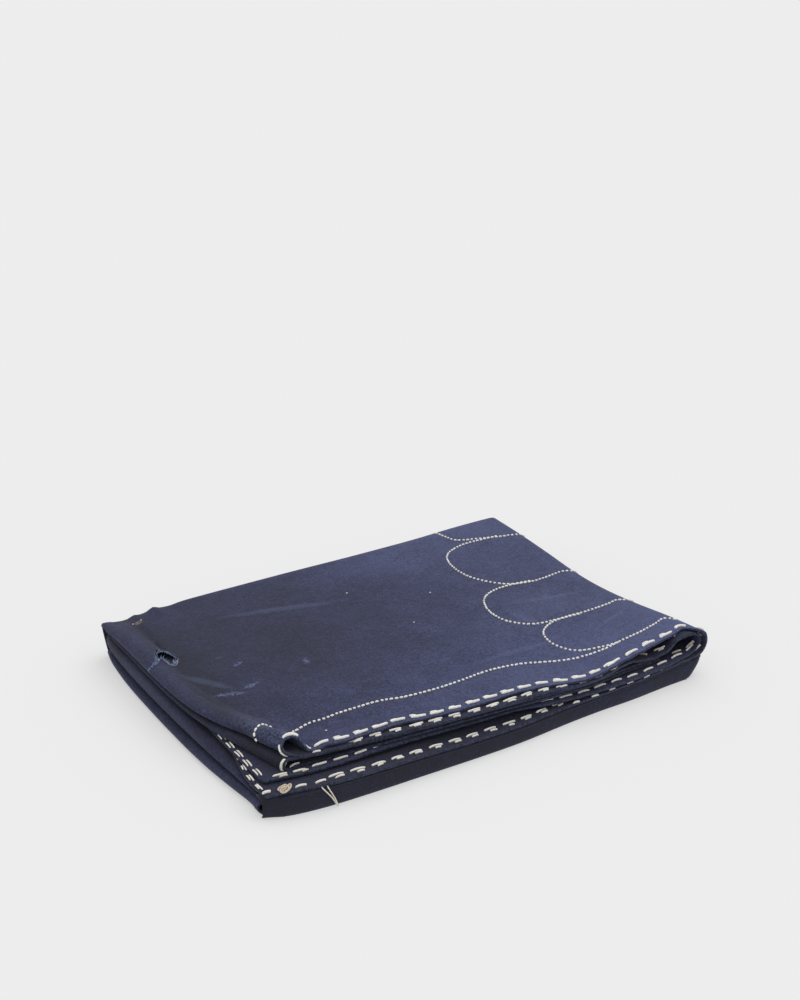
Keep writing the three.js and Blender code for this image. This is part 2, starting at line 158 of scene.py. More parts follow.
# Left and right edges of the folds: x at each distance from the front
LEFT_AT = (0, 15, 30, 50, 65, 85, 112, 150, 200, 240, 256)
LEFT = {
    "top_roll": (28, 28, 26.5, 19.5, 16, 8, 1.5, -1.5, -1.8, -2, -2.2),
    "inner_fold": (26.6, 24.8, 20, 14, 9.2, 4.5, 0.8, -0.6, -0.4, -0.2, 1),
    "fifth_edge": (9.5, 7.2, 6.6, 6.2, 6, 6.4, 8.2, 10.5, 10.5, 10.5, 10.5),
    "sixth_edge": (3.2, 1.6, 2.4, 6, 9.2, 10, 10.5, 11, 11, 11, 11),
    "tall_fold": (2.2, 2.2, 1.2, 0, -0.8, -1.6, -2.2, -2.6, -2.2, -0.4, 2),
    "low_fold": (1.2, 1.1, -0.8, -2.8, -4, -4.9, -5.3, -5.3, -4.2, -1, 2),
}
RIGHT_AT = (0, 30, 70, 120, 180, 256)
RIGHT = {
    "outer_loop": (359.4, 355.8, 350.8, 349.2, 350.6, 352),
    "inner_ends": (322, 323, 324, 325, 326, 328),
    "high_fold": (358, 354.6, 350.4, 349, 350, 351),
    "low_fold": (349.5, 348.5, 347.5, 347, 347.5, 348),
    "base": (343.5, 343.8, 344, 344.3, 344.6, 345),
}

# The soft roll at the left edge of the top ply, and the tall plain fold under it
ROLL_AT = (0, 30, 60, 110, 160, 200, 256)
ROLL_HALF_WIDTH = (7.4, 7, 6.6, 6, 6, 6.2, 5.5)
ROLL_HALF_HEIGHT = (5.4, 5, 3.4, 2.4, 2.7, 2.8, 1.8)
TALL_AT = (0, 30, 50, 65, 90, 130, 200, 256)
TALL_CROWN = (11.7, 11.9, 12.3, 13.4, 15.8, 17.9, 18.3, 17.6)
CREASE_LIFT = (6.2, 4.6, 3.4, 2.6, 1.9, 1.2, 0.6, 0.6)
ROLL_RUN_OUT = 5

# Where the left roll and the edges of single plies begin behind the front, and where plies
# that turn back start from, in x
ROLL_FRONT = 28
INNER_FRONT = 18
FIFTH_FRONT = 10
SECOND_START = 9
FIRST_LEFT = 14
INNER_STEP = 4

# Points of a turn: how far in from the turn's edge, between which two heights, the share
# of the way from the first to the second, and a lift
OUTER_LOOP = (
    (11, "sixth", "top", 0, 0),
    (4.2, "sixth", "top", 0, 2.2),
    (0.2, "sixth", "top", 0.42, 0),
    (0.9, "sixth", "top", 1, -3.6),
    (4.2, "sixth", "top", 1, -0.4),
    (13, "sixth", "top", 1, 0),
)
INNER_LOOP = (
    (42, "second", "top", 0, 0),
    (32, "second", "top", 0.2, 0),
    (24, "second", "top", 1, -3.6),
    (15, "second", "top", 1, -2.5),
    (6.6, "second", "top", 1, -2.9),
    (3.2, "second", "top", 1, -6),
    (2.6, "sixth", "top", 0.42, 0),
    (6.2, "fifth", "top", 0, 1.5),
    (13, "fifth", "top", 0, 0),
)
INNER_FOLD = (
    (9, "fourth", "third", 0, 0),
    (3.6, "fourth", "third", 0, -0.8),
    (0.8, "fourth", "third", 0.12, -0.3),
    (0, "fourth", "third", 0.5, 0),
    (0.8, "fourth", "third", 0.9, 0.2),
    (3.6, "fourth", "third", 1, 0.7),
    (9, "fourth", "third", 1, 0.2),
)
CLOSED_FOLD = (
    (3.5, "low", "high", 0, 0),
    (0, "low", "high", 0.18, 0),
    (0, "low", "high", 0.82, 0),
    (3.5, "low", "high", 1, 0),
)
TALL_FOLD = (
    (5, "third", "crown", 0, 0),
    (0.9, "third", "crown", 0, 0.5),
    (0, "third", "crown", 0.5, 0),
    (1.2, "third", "crown", 1, -0.6),
    (4, "third", "crown", 1, 0),
    (7, "first", "crown", 0.72, 0),
)

# How each hem wanders behind (or, negative, in front of) its even line, at places along x
WANDER = {
    "top": {
        "at": (30, 45, 56, 66, 81, 95, 110, 123, 150, 178, 194, 223, 236, 250, 310, 330, 347),
        "back": (0, -4.5, -2.2, -2.4, 0.4, 2, 4, 2.2, 0.8, 1.6, 3.2, 3.6, 1.6, 0, -1.4, -1.6, 0),
    },
    "second": {
        "at": (60, 74, 103, 146, 188, 203, 217, 232, 250, 270, 300),
        "back": (0, 1, 1.6, -0.8, -1, 1, 2.2, 1.6, 0.4, -0.6, 0),
    },
    "fifth": {
        "at": (60, 100, 170, 193, 207, 220, 260),
        "back": (1, 0.6, 0.2, 1.4, 0, -1, 0),
    },
    "sixth": {
        "at": (0, 60, 110, 150, 200, 230, 250, 300),
        "back": (0, 0, 0.6, 0.8, 1.4, 1.2, 0, -0.6),
    },
}

# The open mouth of the left roll at the front hem: how far right of the roll's left edge,
# how far above the second ply, and how far the hem stands back there
MOUTH = (
    (23.5, 2.3, 15.0), (18.4, 1.5, 15.2), (15.6, 1.8, 16.4), (14.0, 3.9, 18), (13.4, 6.0, 20.5),
    (12.4, 7.8, 23), (9.6, 9.2, 25), (5.8, 9.8, 26), (2.8, 9.1, 26), (0.6, 7.6, 25),
    (-0.8, 6.0, 23), (-0.8, 4.0, 20.5), (1.7, 1.9, 18.6), (5.8, 0.4, 17.4),
)
MOUTH_REACH = {"from": 10, "over": 44}
MOUTH_RIGHT = 26.5

# The settled roll behind the mouth: the angles of its turn, and the points of its run-out
ROLL_TURN = (45, 66, 88, 110, 132, 154, 176, 198, 216, 232, 248)
RUN_OUT_STEPS = (0.3, 0.55, 0.8)

# Both ends of the front wall: a dark pocket behind the left one, where the left folds start
# later, and a step back at the right one
POCKET = {"depth": 9, "from": -3, "width": 9.5}
RIGHT_STEP = {"depth": 3.4, "from": 343, "over": 13}

# How finely the visible sheet is cut: columns of each stretch of a section, spacing of the
# points that guide it, and distances of the rows behind the front edge. The last row stays
# a bite inside the back fold.
COLUMNS = {
    "sixth": 60,
    "outer_loop": 20,
    "top": 128,
    "roll": 36,
    "second": 60,
    "inner_loop": 34,
    "fifth": 60,
}
INNER_COLUMNS = {"fourth": 60, "inner_fold": 12, "third": 60}
LOWER_COLUMNS = {
    "low_fifth": 44,
    "low_fold": 10,
    "low_fourth": 20,
    "low_right_fold": 10,
    "low_third": 20,
    "tall_fold": 26,
    "low_first": 44,
    "high_right_fold": 10,
    "low_second": 20,
}
GUIDE_SPACING = 9
BACK_BITE = 0.6
NEAR_ROWS = (0, 0.7, 1.6, 2.8, 4.2, 5.8, 7.6, 9.6, 12, 15, 18.6, 23)
ROW_SPACING = 4.3

# Each strip has its own range of places along the flat cloth: the outer one lies round 0.
# Past HEMS_END there is no hem, and past LOWER_START the cloth is the lower pile's.
INNER_SHIFT = 2000
LOWER_SHIFT = 3000
OUTER_END = INNER_SHIFT - 500
LOWER_START = INNER_SHIFT + 500
HEMS_END = INNER_SHIFT + 900


def through(stations, values, x):
    """A smooth curve through values given at rising stations."""
    s, v = np.asarray(stations, float), np.asarray(values, float)
    x = np.clip(x, s[0], s[-1])
    i = np.clip(np.searchsorted(s, x, side="right") - 1, 0, len(s) - 2)
    before = np.maximum(np.arange(len(s)) - 1, 0)
    after = np.minimum(np.arange(len(s)) + 1, len(s) - 1)
    slope = (v[after] - v[before]) / (s[after] - s[before])
    span = s[i + 1] - s[i]
    t = (x - s[i]) / span
    t2, t3 = t * t, t * t * t
    return (
        (2 * t3 - 3 * t2 + 1) * v[i]
        + (t3 - 2 * t2 + t) * span * slope[i]
        + (3 * t2 - 2 * t3) * v[i + 1]
        + (t3 - t2) * span * slope[i + 1]
    )


def mix(a, b, t):
    return a + (b - a) * t


def ease(t):
    """0 to 1 with soft ends."""
    t = np.clip(t, 0, 1)
    return t * t * (3 - 2 * t)


def rise(value, start, length):
    """0 before start, and 1 from a length past it."""
    return ease((value - start) / length)


def left_edge(name, y):
    return through(LEFT_AT, LEFT[name], y)


def right_edge(name, y):
    return through(RIGHT_AT, RIGHT[name], y)


def wave(x, y, z):
    """Slow waves that keep the pile uneven; they grow with the height and away from the front."""
    swell = np.sin(x / 47 + y / 83) + 0.7 * np.sin(x / 29 - y / 61 + 1.3)
    growth = np.clip(z / WAVE["full_height"], 0, 1) * rise(y, 0, WAVE["full_distance"])
    return WAVE["height"] * swell * growth


def front_of(name, x):
    even = through(PLACE, UPPER[name]["set_back"], x)
    if name not in WANDER:
        return even
    return even + through(WANDER[name]["at"], WANDER[name]["back"], x)


def upper_height(name, x, y):
    ply = UPPER[name]
    share = ply["back_share"]
    front = through(PLACE, ply["front"], x)
    low = through(BACK_PLACE, BACK_SIXTH, x)
    back = mix(low, through(BACK_PLACE, BACK_TOP, x), share)
    z = mix(front, back, rise(y, front_of(name, x), SETTLE_LENGTH))
    near_right = rise(x, SAG["from"], SAG["over"])
    sag = SAG["depth"] * share * near_right * np.exp(-(((y - SAG["middle"]) / SAG["reach"]) ** 2))
    return z + wave(x, y, z) - sag


def lower_height(name, x, y):
    ceiling = upper_height("sixth", x, y) - LOWER_DROP
    near_left = np.exp(-((np.maximum(x, 0) / LIFT_REACH) ** 2))
    inside = 0 < LOWER_SHARE[name] < 1
    base = BASE_HEIGHT + (through(TALL_AT, CREASE_LIFT, y) * near_left if inside else 0)
    return mix(base, ceiling, LOWER_SHARE[name])


def band_front(x):
    return through(BAND_PLACE, BAND_SET_BACK, x)


def lower_front(x, bite):
    """Front ends of the lower plies, behind the wall; they start later at both its ends."""
    pocket = POCKET["depth"] * (1 - rise(x, POCKET["from"], POCKET["width"]))
    step = RIGHT_STEP["depth"] * rise(x, RIGHT_STEP["from"], RIGHT_STEP["over"])
    return band_front(x) + BITE[bite] + pocket + step


def back_wall(z, x):
    """Where the closed back fold stands at a height; its curve stops short of both ends."""
    share = np.clip(z / upper_height("top", x, DEPTH), 0.03, 0.97)
    bulge = BACK_FOLD["bulge"] * np.sin(math.pi * share) ** BACK_FOLD["roundness"]
    return DEPTH - BACK_FOLD["tuck"] + bulge


def run(height, front, left, right, share):
    """Guide points of a flat stretch from left to right, as rows of x, z and front."""
    count = max(int((right - left) / GUIDE_SPACING), 4)
    x = np.linspace(left, right, count + 1)
    edge = front(x)
    return np.stack([x, height(x, mix(edge, DEPTH, share)), edge], axis=1)


def upper_run(name, left, right, share):
    return run(
        lambda x, y: upper_height(name, x, y), lambda x: front_of(name, x), left, right, share
    )


def lower_run(name, left, right, share, bite="ply"):
    return run(
        lambda x, y: lower_height(name, x, y),
        lambda x: lower_front(x, bite),
        left,
        right,
        share,
    )


def bend(rows, edge, side, heights, front):
    """Guide points of a turn, without its first and last; side is 1 at a left edge."""
    points = []
    for inward, low, high, share, lift in rows[1:-1]:
        x = edge + side * inward
        points.append((x, mix(heights[low], heights[high], share) + lift, front(x)))
    return np.array(points)


def outer_section(share):
    """Sixth ply, outer loop, top ply, left roll, second ply, inner loop and fifth ply."""
    y = share * DEPTH
    roll_y = mix(ROLL_FRONT, DEPTH, share)
    loop = right_edge("outer_loop", y)
    roll_left = left_edge("top_roll", roll_y)
    settled = rise(y, MOUTH_REACH["from"], MOUTH_REACH["over"])
    run_out = 2 * through(ROLL_AT, ROLL_HALF_WIDTH, roll_y) + ROLL_RUN_OUT
    top_left = roll_left + mix(MOUTH_RIGHT, run_out, settled)
    sixth = upper_run("sixth", left_edge("sixth_edge", y), loop - OUTER_LOOP[0][0], share)
    top = upper_run("top", top_left, loop - OUTER_LOOP[-1][0], share)
    second = upper_run("second", roll_left + SECOND_START, loop - INNER_LOOP[0][0], share)
    fifth_left = left_edge("fifth_edge", mix(FIFTH_FRONT, DEPTH, share))
    fifth = upper_run("fifth", fifth_left, loop - INNER_LOOP[-1][0], share)
    heights = {
        "sixth": sixth[-1, 1],
        "top": top[-1, 1],
        "second": second[-1, 1],
        "fifth": fifth[-1, 1],
    }
    outer = bend(OUTER_LOOP, loop, -1, heights, lambda x: sixth[-1, 2])
    inner = bend(INNER_LOOP, loop, -1, heights, lambda x: second[-1, 2])
    return {
        "sixth": sixth,
        "outer_loop": outer,
        "top": top[::-1],
        "roll": left_roll(top[0], second[0], roll_y, settled),
        "second": second,
        "inner_loop": inner,
        "fifth": fifth[::-1],
    }


def left_roll(start, end, y, settled):
    """The left roll: an open mouth at the front hem that settles into a soft low roll."""
    left = left_edge("top_roll", y)
    half_width = through(ROLL_AT, ROLL_HALF_WIDTH, y)
    half_height = through(ROLL_AT, ROLL_HALF_HEIGHT, y)
    x, z = left + half_width, end[1] + half_height
    angles = np.radians(ROLL_TURN)
    fronts = np.linspace(start[2], end[2], len(angles))
    round_x, round_z = x + half_width * np.cos(angles), z + half_height * np.sin(angles)
    low = np.stack([round_x, round_z, fronts], axis=1)
    run_out = np.array([mix(start, low[0], t) for t in RUN_OUT_STEPS])
    low = np.concatenate([run_out, low])
    mouth = np.array(MOUTH) + np.array((left, end[1], 0))
    return mix(mouth, low, settled)


def inner_section(share):
    """Fourth ply, left fold and third ply, both free at the right."""
    left = left_edge("inner_fold", mix(INNER_FRONT, DEPTH, share))
    start = left + INNER_FOLD[0][0]
    right = right_edge("inner_ends", share * DEPTH)
    fourth = upper_run("fourth", start, right, share)
    third = upper_run("third", start, right - INNER_STEP, share)
    heights = {"fourth": fourth[0, 1], "third": third[0, 1]}
    fold = bend(INNER_FOLD, left, 1, heights, lambda x: fourth[0, 2])
    return {"fourth": fourth[::-1], "inner_fold": fold, "third": third}


def lower_section(share):
    """Fifth ply on the surface, low fold, fourth, right fold, third, tall fold, first, second."""
    y = share * DEPTH
    low, tall = left_edge("low_fold", y), left_edge("tall_fold", y)
    high_right, low_right = right_edge("high_fold", y), right_edge("low_fold", y)
    tuck = CLOSED_FOLD[0][0]
    fifth = lower_run("fifth", low + tuck, right_edge("base", y), share)
    fourth = lower_run("fourth", low + tuck, low_right - tuck, share, "inner_ply")
    third = lower_run("third", tall + TALL_FOLD[0][0], low_right - tuck, share, "inner_ply")
    first = lower_run("first", FIRST_LEFT, high_right - tuck, share)
    second = lower_run("second", FIRST_LEFT, high_right - tuck, share, "inner_ply")

    def front(x):
        return lower_front(x, "fold")

    def closed(start, end, edge, side):
        return bend(CLOSED_FOLD, edge, side, {"low": start[1], "high": end[1]}, front)

    heights = {"third": third[0, 1], "first": first[0, 1], "crown": through(TALL_AT, TALL_CROWN, y)}
    tall_rows = (*TALL_FOLD, (FIRST_LEFT - tall, "first", "crown", 0, 0))
    return {
        "low_fifth": fifth[::-1],
        "low_fold": closed(fifth[0], fourth[0], low, 1),
        "low_fourth": fourth,
        "low_right_fold": closed(fourth[-1], third[-1], low_right, -1),
        "low_third": third[::-1],
        "tall_fold": bend(tall_rows, tall, 1, heights, front),
        "low_first": first,
        "high_right_fold": closed(first[-1], second[-1], high_right, -1),
        "low_second": second[::-1],
    }


TURNS = {
    *("outer_loop", "roll", "inner_loop", "inner_fold"),
    *("low_fold", "low_right_fold", "tall_fold", "high_right_fold"),
}


class Strip:
    """One folded sheet as a grid of points in millimetres.

    Rows run from the front to the back and columns along the section. Each point also has
    its place on the flat cloth: along is measured along the section from the stretch called
    zero, where it equals x, and behind is the distance behind the front edge.
    """

    def __init__(self, section, columns, zero, distances, shift=0.0):
        self.range = {}
        start = 0
        for name, count in columns.items():
            self.range[name] = (start, start + count)
            start += count
        self.columns, self.zero, self.shift = columns, zero, shift
        self.distances = np.asarray(distances, float)
        rows = [self.row(section(share), share) for share in self.distances / DEPTH]
        self.points = np.array([points for points, along in rows])
        self.along = np.array([along for points, along in rows]) + shift
        self.behind = np.repeat(self.distances[:, None], start, axis=1)

    def row(self, parts, share):
        names = list(parts)
        keys = np.concatenate([parts[name] for name in names])
        last_key = np.cumsum([len(parts[name]) for name in names]) - 1
        chord = np.hypot(np.diff(keys[:, 0]), np.diff(keys[:, 1]))
        chord = np.concatenate([[0], np.cumsum(chord)])
        samples, ends, begin = [], {}, 0.0
        for i, name in enumerate(names):
            final = i == len(names) - 1
            end = chord[last_key[i] + (0 if final or name not in TURNS else 1)]
            samples.append(np.linspace(begin, end, self.columns[name], endpoint=final))
            ends[name] = (begin, end)
            begin = end
        at = np.concatenate(samples)
        x, z, front = (through(chord, keys[:, k], at) for k in range(3))
        y = mix(front, back_wall(z, x) - BACK_BITE, share)
        first, last = ends[self.zero]
        first_x, last_x = through(chord, keys[:, 0], np.array([first, last]))
        along = first_x + at - first if first_x < last_x else last_x + last - at
        return np.stack([x, y, z], axis=1), along

    def normals(self):
        """Unit normals on the right-hand side of the way the columns run."""
        across = np.gradient(self.points, axis=1)
        back = np.gradient(self.points, self.distances, axis=0)
        normal = -np.cross(across, back)
        return normal / np.linalg.norm(normal, axis=2, keepdims=True)

    def along_at(self, stretch, x, behind):
        """The flat-cloth place of x on one stretch, at a distance behind the front edge."""
        first, last = self.range[stretch]
        row = int(np.argmin(np.abs(self.distances - behind)))
        xs, along = self.points[row, first:last, 0], self.along[row, first:last]
        order = np.argsort(xs)
        toward = np.sign((along[-1] - along[0]) * (xs[-1] - xs[0]))
        past = x - np.clip(x, xs.min(), xs.max())
        return float(np.interp(x, xs[order], along[order]) + toward * past)

    def place(self, along, behind):
        """Points and normals of places on the flat cloth."""
        fields = np.concatenate([self.points, self.normals()], axis=2)
        rows = np.interp(behind, self.distances, np.arange(len(self.distances)))
        found = np.empty((len(rows), 6))
        step = 1 if self.along[0, -1] > self.along[0, 0] else -1
        for i, (row, target) in enumerate(zip(rows, along)):
            low = min(int(row), len(self.distances) - 2)
            pair = []
            for r in (low, low + 1):
                stations = self.along[r, ::step]
                pair.append([np.interp(target, stations, fields[r, ::step, k]) for k in range(6)])
            found[i] = mix(np.array(pair[0]), np.array(pair[1]), row - low)
        normal = found[:, 3:]
        return found[:, :3], normal / np.linalg.norm(normal, axis=1, keepdims=True)


def row_distances():
    """Distances of the rows behind the front edge: close together at the hem, then even."""
    count = round((DEPTH - NEAR_ROWS[-1]) / ROW_SPACING)
    return (*NEAR_ROWS, *np.linspace(NEAR_ROWS[-1], DEPTH, count + 1)[1:])


def coarse(distances, step):
    """Every step-th row of the even ones, with the hem's rows and the last one kept."""
    even = distances[len(NEAR_ROWS):]
    return (*distances[: len(NEAR_ROWS)], *even[step - 1 : -1 : step], even[-1])


def soft_line(along, behind, start, end, height, width):
    """A soft ridge, or a trough where height is negative, along a line on the flat cloth."""
    ax, ay = start
    dx, dy = end[0] - ax, end[1] - ay
    length2 = dx * dx + dy * dy
    t = np.clip(((along - ax) * dx + (behind - ay) * dy) / length2, 0, 1)
    # It is highest in the middle and runs out softly at both ends
    distance2 = (along - ax - t * dx) ** 2 + (behind - ay - t * dy) ** 2
    fade = np.sin(math.pi * np.clip(0.08 + 0.84 * t, 0, 1)) ** 0.7
    return height * fade * np.exp(-distance2 / (2 * width * width))


# Soft creases on the top ply: ends as (along, behind), height and width
CREASES = (
    ((44, 6), (50, 66), -1.2, 4.5),
    ((60, 70), (180, 44), 0.6, 9),
    ((120, 180), (250, 150), -0.5, 13),
    ((30, 120), (95, 150), 0.7, 8),
    ((200, 60), (330, 90), 0.6, 11),
    ((250, 20), (335, 34), 0.5, 6),
    ((36, 266), (0, 250), -2.2, 7),
    ((41, 268), (38, 247), 2.2, 2.4),
    ((25, 268), (23, 250), 1.6, 2.2),
    ((50, 268), (56, 240), -0.9, 5),
)


def top_relief(along, behind):
    """Creases of the top ply: heights in millimetres over the even cloth."""
    height = np.zeros_like(along)
    for crease in CREASES:
        height += soft_line(along, behind, *crease)
    return height


# The worn tear across the left roll of the top ply, as places on the flat cloth: the torn
# rim at its far side, and the hole that stays open between the rim and the flap
TEAR_RIM = (
    (-8, 160.5), (-3, 160.6), (1, 160.2), (4, 161.5), (6.2, 165), (8.4, 170.6), (10.8, 176),
    (14.2, 178.6), (17.4, 177.4), (19.6, 173), (21.2, 168.2), (25.6, 165.4),
)
TEAR_HOLE = (
    (5.6, 164.7), (8.4, 172.7), (11, 178.1), (14.1, 179.1), (17.5, 177.9), (19.7, 173.9),
    (21.3, 170), (21, 163.1), (19.2, 157.7), (16.8, 155.5), (14.6, 158.7), (14, 163.5),
    (13.4, 168.1), (12.2, 171.1), (9.8, 169.1), (7.8, 165.5),
)
RIM_SOFTNESS = 1.8
RIM_WEAR = 0.9

# What rises and sinks round the tear: the raised roll behind it, the crease at the roll's
# right, the lifted lip and the sunken flap
RIDGE = {"height": 2.3, "middle": 7, "half_width": 9.5, "even_to": 47.3, "fall": 38.7}
RIDGE_CREASE = {"depth": 1.5, "middle": 18.6, "half_width": 1.6, "from": 4, "over": 10}
LIP = {"height": 2.2, "middle": 15.3, "half_width": 6, "reach": 10}
FLAP = {"height": -0.9, "middle": (10.8, 163), "radius": 9}

# Where the cloth is cut finely round the tear, where it may rise, and how the hole's edge is
# made ragged
TEAR_FIELD = {"along": (-7, 33), "behind": (150, 200), "cuts": 3}
RAISED = {"along": (-12, 60), "from": -8, "over": 8}
RAGGED = {"size": 0.7, "scale": 0.9, "seed": 3.1}


def tear_relief(along, behind):
    """The raised roll that ends at the tear, its lifted rim and the sunken flap beside it."""
    at, rim = np.array(TEAR_RIM).T
    past = behind - np.interp(along, at, rim)
    beyond = ease(past / RIM_SOFTNESS + 0.5)
    across = (along - RIDGE["middle"]) / RIDGE["half_width"]
    level = 1 - rise(past, RIDGE["even_to"], RIDGE["fall"])
    height = RIDGE["height"] * beyond * level * np.exp(-np.abs(across) ** 3)
    crease = (along - RIDGE_CREASE["middle"]) / RIDGE_CREASE["half_width"]
    depth = RIDGE_CREASE["depth"] * rise(past, RIDGE_CREASE["from"], RIDGE_CREASE["over"])
    height -= depth * level * np.exp(-(crease**2))
    lip = (along - LIP["middle"]) / LIP["half_width"]
    height += LIP["height"] * beyond * np.exp(-(lip**2) - np.maximum(past, 0) / LIP["reach"])
    flap = np.hypot(along - FLAP["middle"][0], behind - FLAP["middle"][1]) / FLAP["radius"]
    height += FLAP["height"] * (1 - beyond) * np.exp(-(flap**2))
    return height * rise(along, RAISED["from"], RAISED["over"])


def near_tear(along, behind):
    """1 on the torn rim, falling to 0 a few millimetres away."""
    rim = np.array(TEAR_RIM[1:-1])
    gap = np.full(along.shape, np.inf)
    for a, b in zip(rim[:-1], rim[1:]):
        d = b - a
        t = np.clip(((along - a[0]) * d[0] + (behind - a[1]) * d[1]) / (d @ d), 0, 1)
        gap = np.minimum(gap, np.hypot(along - a[0] - t * d[0], behind - a[1] - t * d[1]))
    return np.exp(-((gap / RIM_WEAR) ** 2))


def in_hole(x, y):
    """Whether a place lies in the open part of the tear."""
    inside = False
    for (ax, ay), (bx, by) in zip(TEAR_HOLE, (*TEAR_HOLE[1:], TEAR_HOLE[0])):
        if (ay > y) != (by > y) and x < ax + (y - ay) * (bx - ax) / (by - ay):
            inside = not inside
    return inside


# How the hem is drawn in at its stitches, and where the creases of the top ply set in
PUCKER = {"depth": 0.25, "stitch": 66, "middle": 3, "reach": 4.5}
CREASES_SET_IN = {"from": -8, "over": 12}


def puckers(along, behind):
    """The hem is drawn in at its stitches and stands up a little between them."""
    phase = np.cos(2 * math.pi * (along - PUCKER["stitch"]) / HEM_PITCH)
    near = (behind - PUCKER["middle"]) / PUCKER["reach"]
    return -PUCKER["depth"] * phase * np.exp(-(near**2))


def make_strips(quick=False):
    """The outer, inner and lower strip of the folded sheet."""
    distances = row_distances()
    if quick:
        distances = coarse(distances, 2)
    outer = Strip(outer_section, COLUMNS, "top", distances)
    face = slice(outer.range["top"][0], outer.range["roll"][1])
    points, along, behind = outer.points[:, face], outer.along[:, face], outer.behind[:, face]
    set_in = rise(along, CREASES_SET_IN["from"], CREASES_SET_IN["over"])
    points[..., 2] += top_relief(along, behind) * set_in
    outer.points[..., 2] += puckers(outer.along, outer.behind)
    inner = Strip(inner_section, INNER_COLUMNS, "third", coarse(distances, 4), INNER_SHIFT)
    lower = Strip(lower_section, LOWER_COLUMNS, "low_first", coarse(distances, 2), LOWER_SHIFT)
    return outer, inner, lower


def travelled(points):
    """How far each row of a grid lies from its first row, along the surface."""
    steps = np.linalg.norm(np.diff(points, axis=0), axis=2)
    return np.concatenate([np.zeros((1, points.shape[1])), np.cumsum(steps, axis=0)])


def band_grid():
    """The closed front wall: rows go up its face and a little way over its top."""
    x = np.linspace(BAND_ENDS["left"], BAND_ENDS["right"], BAND_COLUMNS)
    share, inward = np.array(BAND_FACE).T
    height = lower_height("first", x, band_front(x)) + BAND_COVER["up"]
    y = band_front(x)[None, :] + inward[:, None] + BAND_COVER["in"]
    z = LOW_EDGE + share[:, None] * (height[None, :] - LOW_EDGE)
    rows = [np.stack([np.broadcast_to(x, y.shape), y, z], axis=2)]
    for back, drop in BAND_TOP:
        over = band_front(x) + back
        top = lower_height("first", x, over) + BAND_COVER["up"] - drop
        rows.append(np.stack([x, over, top], axis=1)[None])
    points = np.concatenate(rows)
    lean = np.clip(2 * points[..., 0] / WIDTH - 1, 0, 1) ** 3
    points[..., 0] += lean * (BAND_ENDS["lean"] * points[..., 2] - BAND_ENDS["tuck"])
    along = np.broadcast_to(x, points.shape[:2]) + LOWER_SHIFT
    return points, along, travelled(points) + BAND_COVER["behind"]


def back_grid(outer):
    """The closed back fold, from the top ply's last row down to the surface."""
    first, last = (outer.range[name][0] + more for name, more in BACK_COLUMNS_PAST.items())
    edge = outer.points[-1, first:last]
    share, out = np.array(BACK_ROWS).T
    start = edge[:, 1] - DEPTH
    full = BACK_FOLD["bulge"] - BACK_FOLD["tuck"]
    for size, length, phase in BACK_WAVER:
        full = full + size * np.sin(edge[:, 0] / length + phase)
    z = LOW_EDGE + share[:, None] * (edge[None, :, 2] - LOW_EDGE)
    y = DEPTH + mix(start[None, :], full[None, :], out[:, None])
    near_left = 1 - rise(edge[:, 0], edge[:, 0].min(), BACK_FOLD["slip_reach"])
    x = edge[None, :, 0] + BACK_FOLD["slip"] * (1 - share[:, None]) * near_left[None, :]
    points = np.stack([x, y, z], axis=2)
    points[0] = edge
    along = np.broadcast_to(outer.along[-1, first:last], y.shape)
    return points, along, DEPTH + travelled(points)


def to_frame(points):
    """Millimetres from the corner to metres in the frame."""
    return points * MM + np.array(CORNER)


# Width of the turned hem, and the length over which it thins to the single cloth
HEM = {"width": 6, "slope": 2.5}


def in_hem(distance):
    """1 within the hem's width of its edge, and 0 a little past it."""
    return 1 - rise(distance, HEM["width"], HEM["slope"])


def hem_share(along, behind, outer):
    """1 in a hem and 0 on the single cloth: the front edges, and the two free left ends."""
    ends = np.minimum(np.abs(along - outer.along.max()), np.abs(along - outer.along.min()))
    return np.where(along < HEMS_END, np.maximum(in_hem(behind), in_hem(ends)), 0)


# The cloth's tone from 0 to 1, fade with painted light and shade: on the top ply all over and,
# as painted light and shade, by what each place of it adds; painted shade inside the folds; then
# the front wall and the left faces
TOP_TONE_AND_LIGHT = {
    "all_over": 0.26,
    "toward_right": 0.36,
    "far_left": -0.24,
    "front": 0.22,
    "back": 0.12,
    "middle": -0.13,
    "behind_tear": 0.12,
}
# Painted shade: tone of the cloth inside the folds, lighter only near the hems and left edges
INSIDE_SHADE_TONE = 0.3
# The front wall's tone: darker at the left, lighter toward the right
WALL_TONE = {"left": -0.1, "more_at_right": 0.3}
# The tone of the left faces, lighter than the front wall
LEFT_FACE_TONE = 0.22


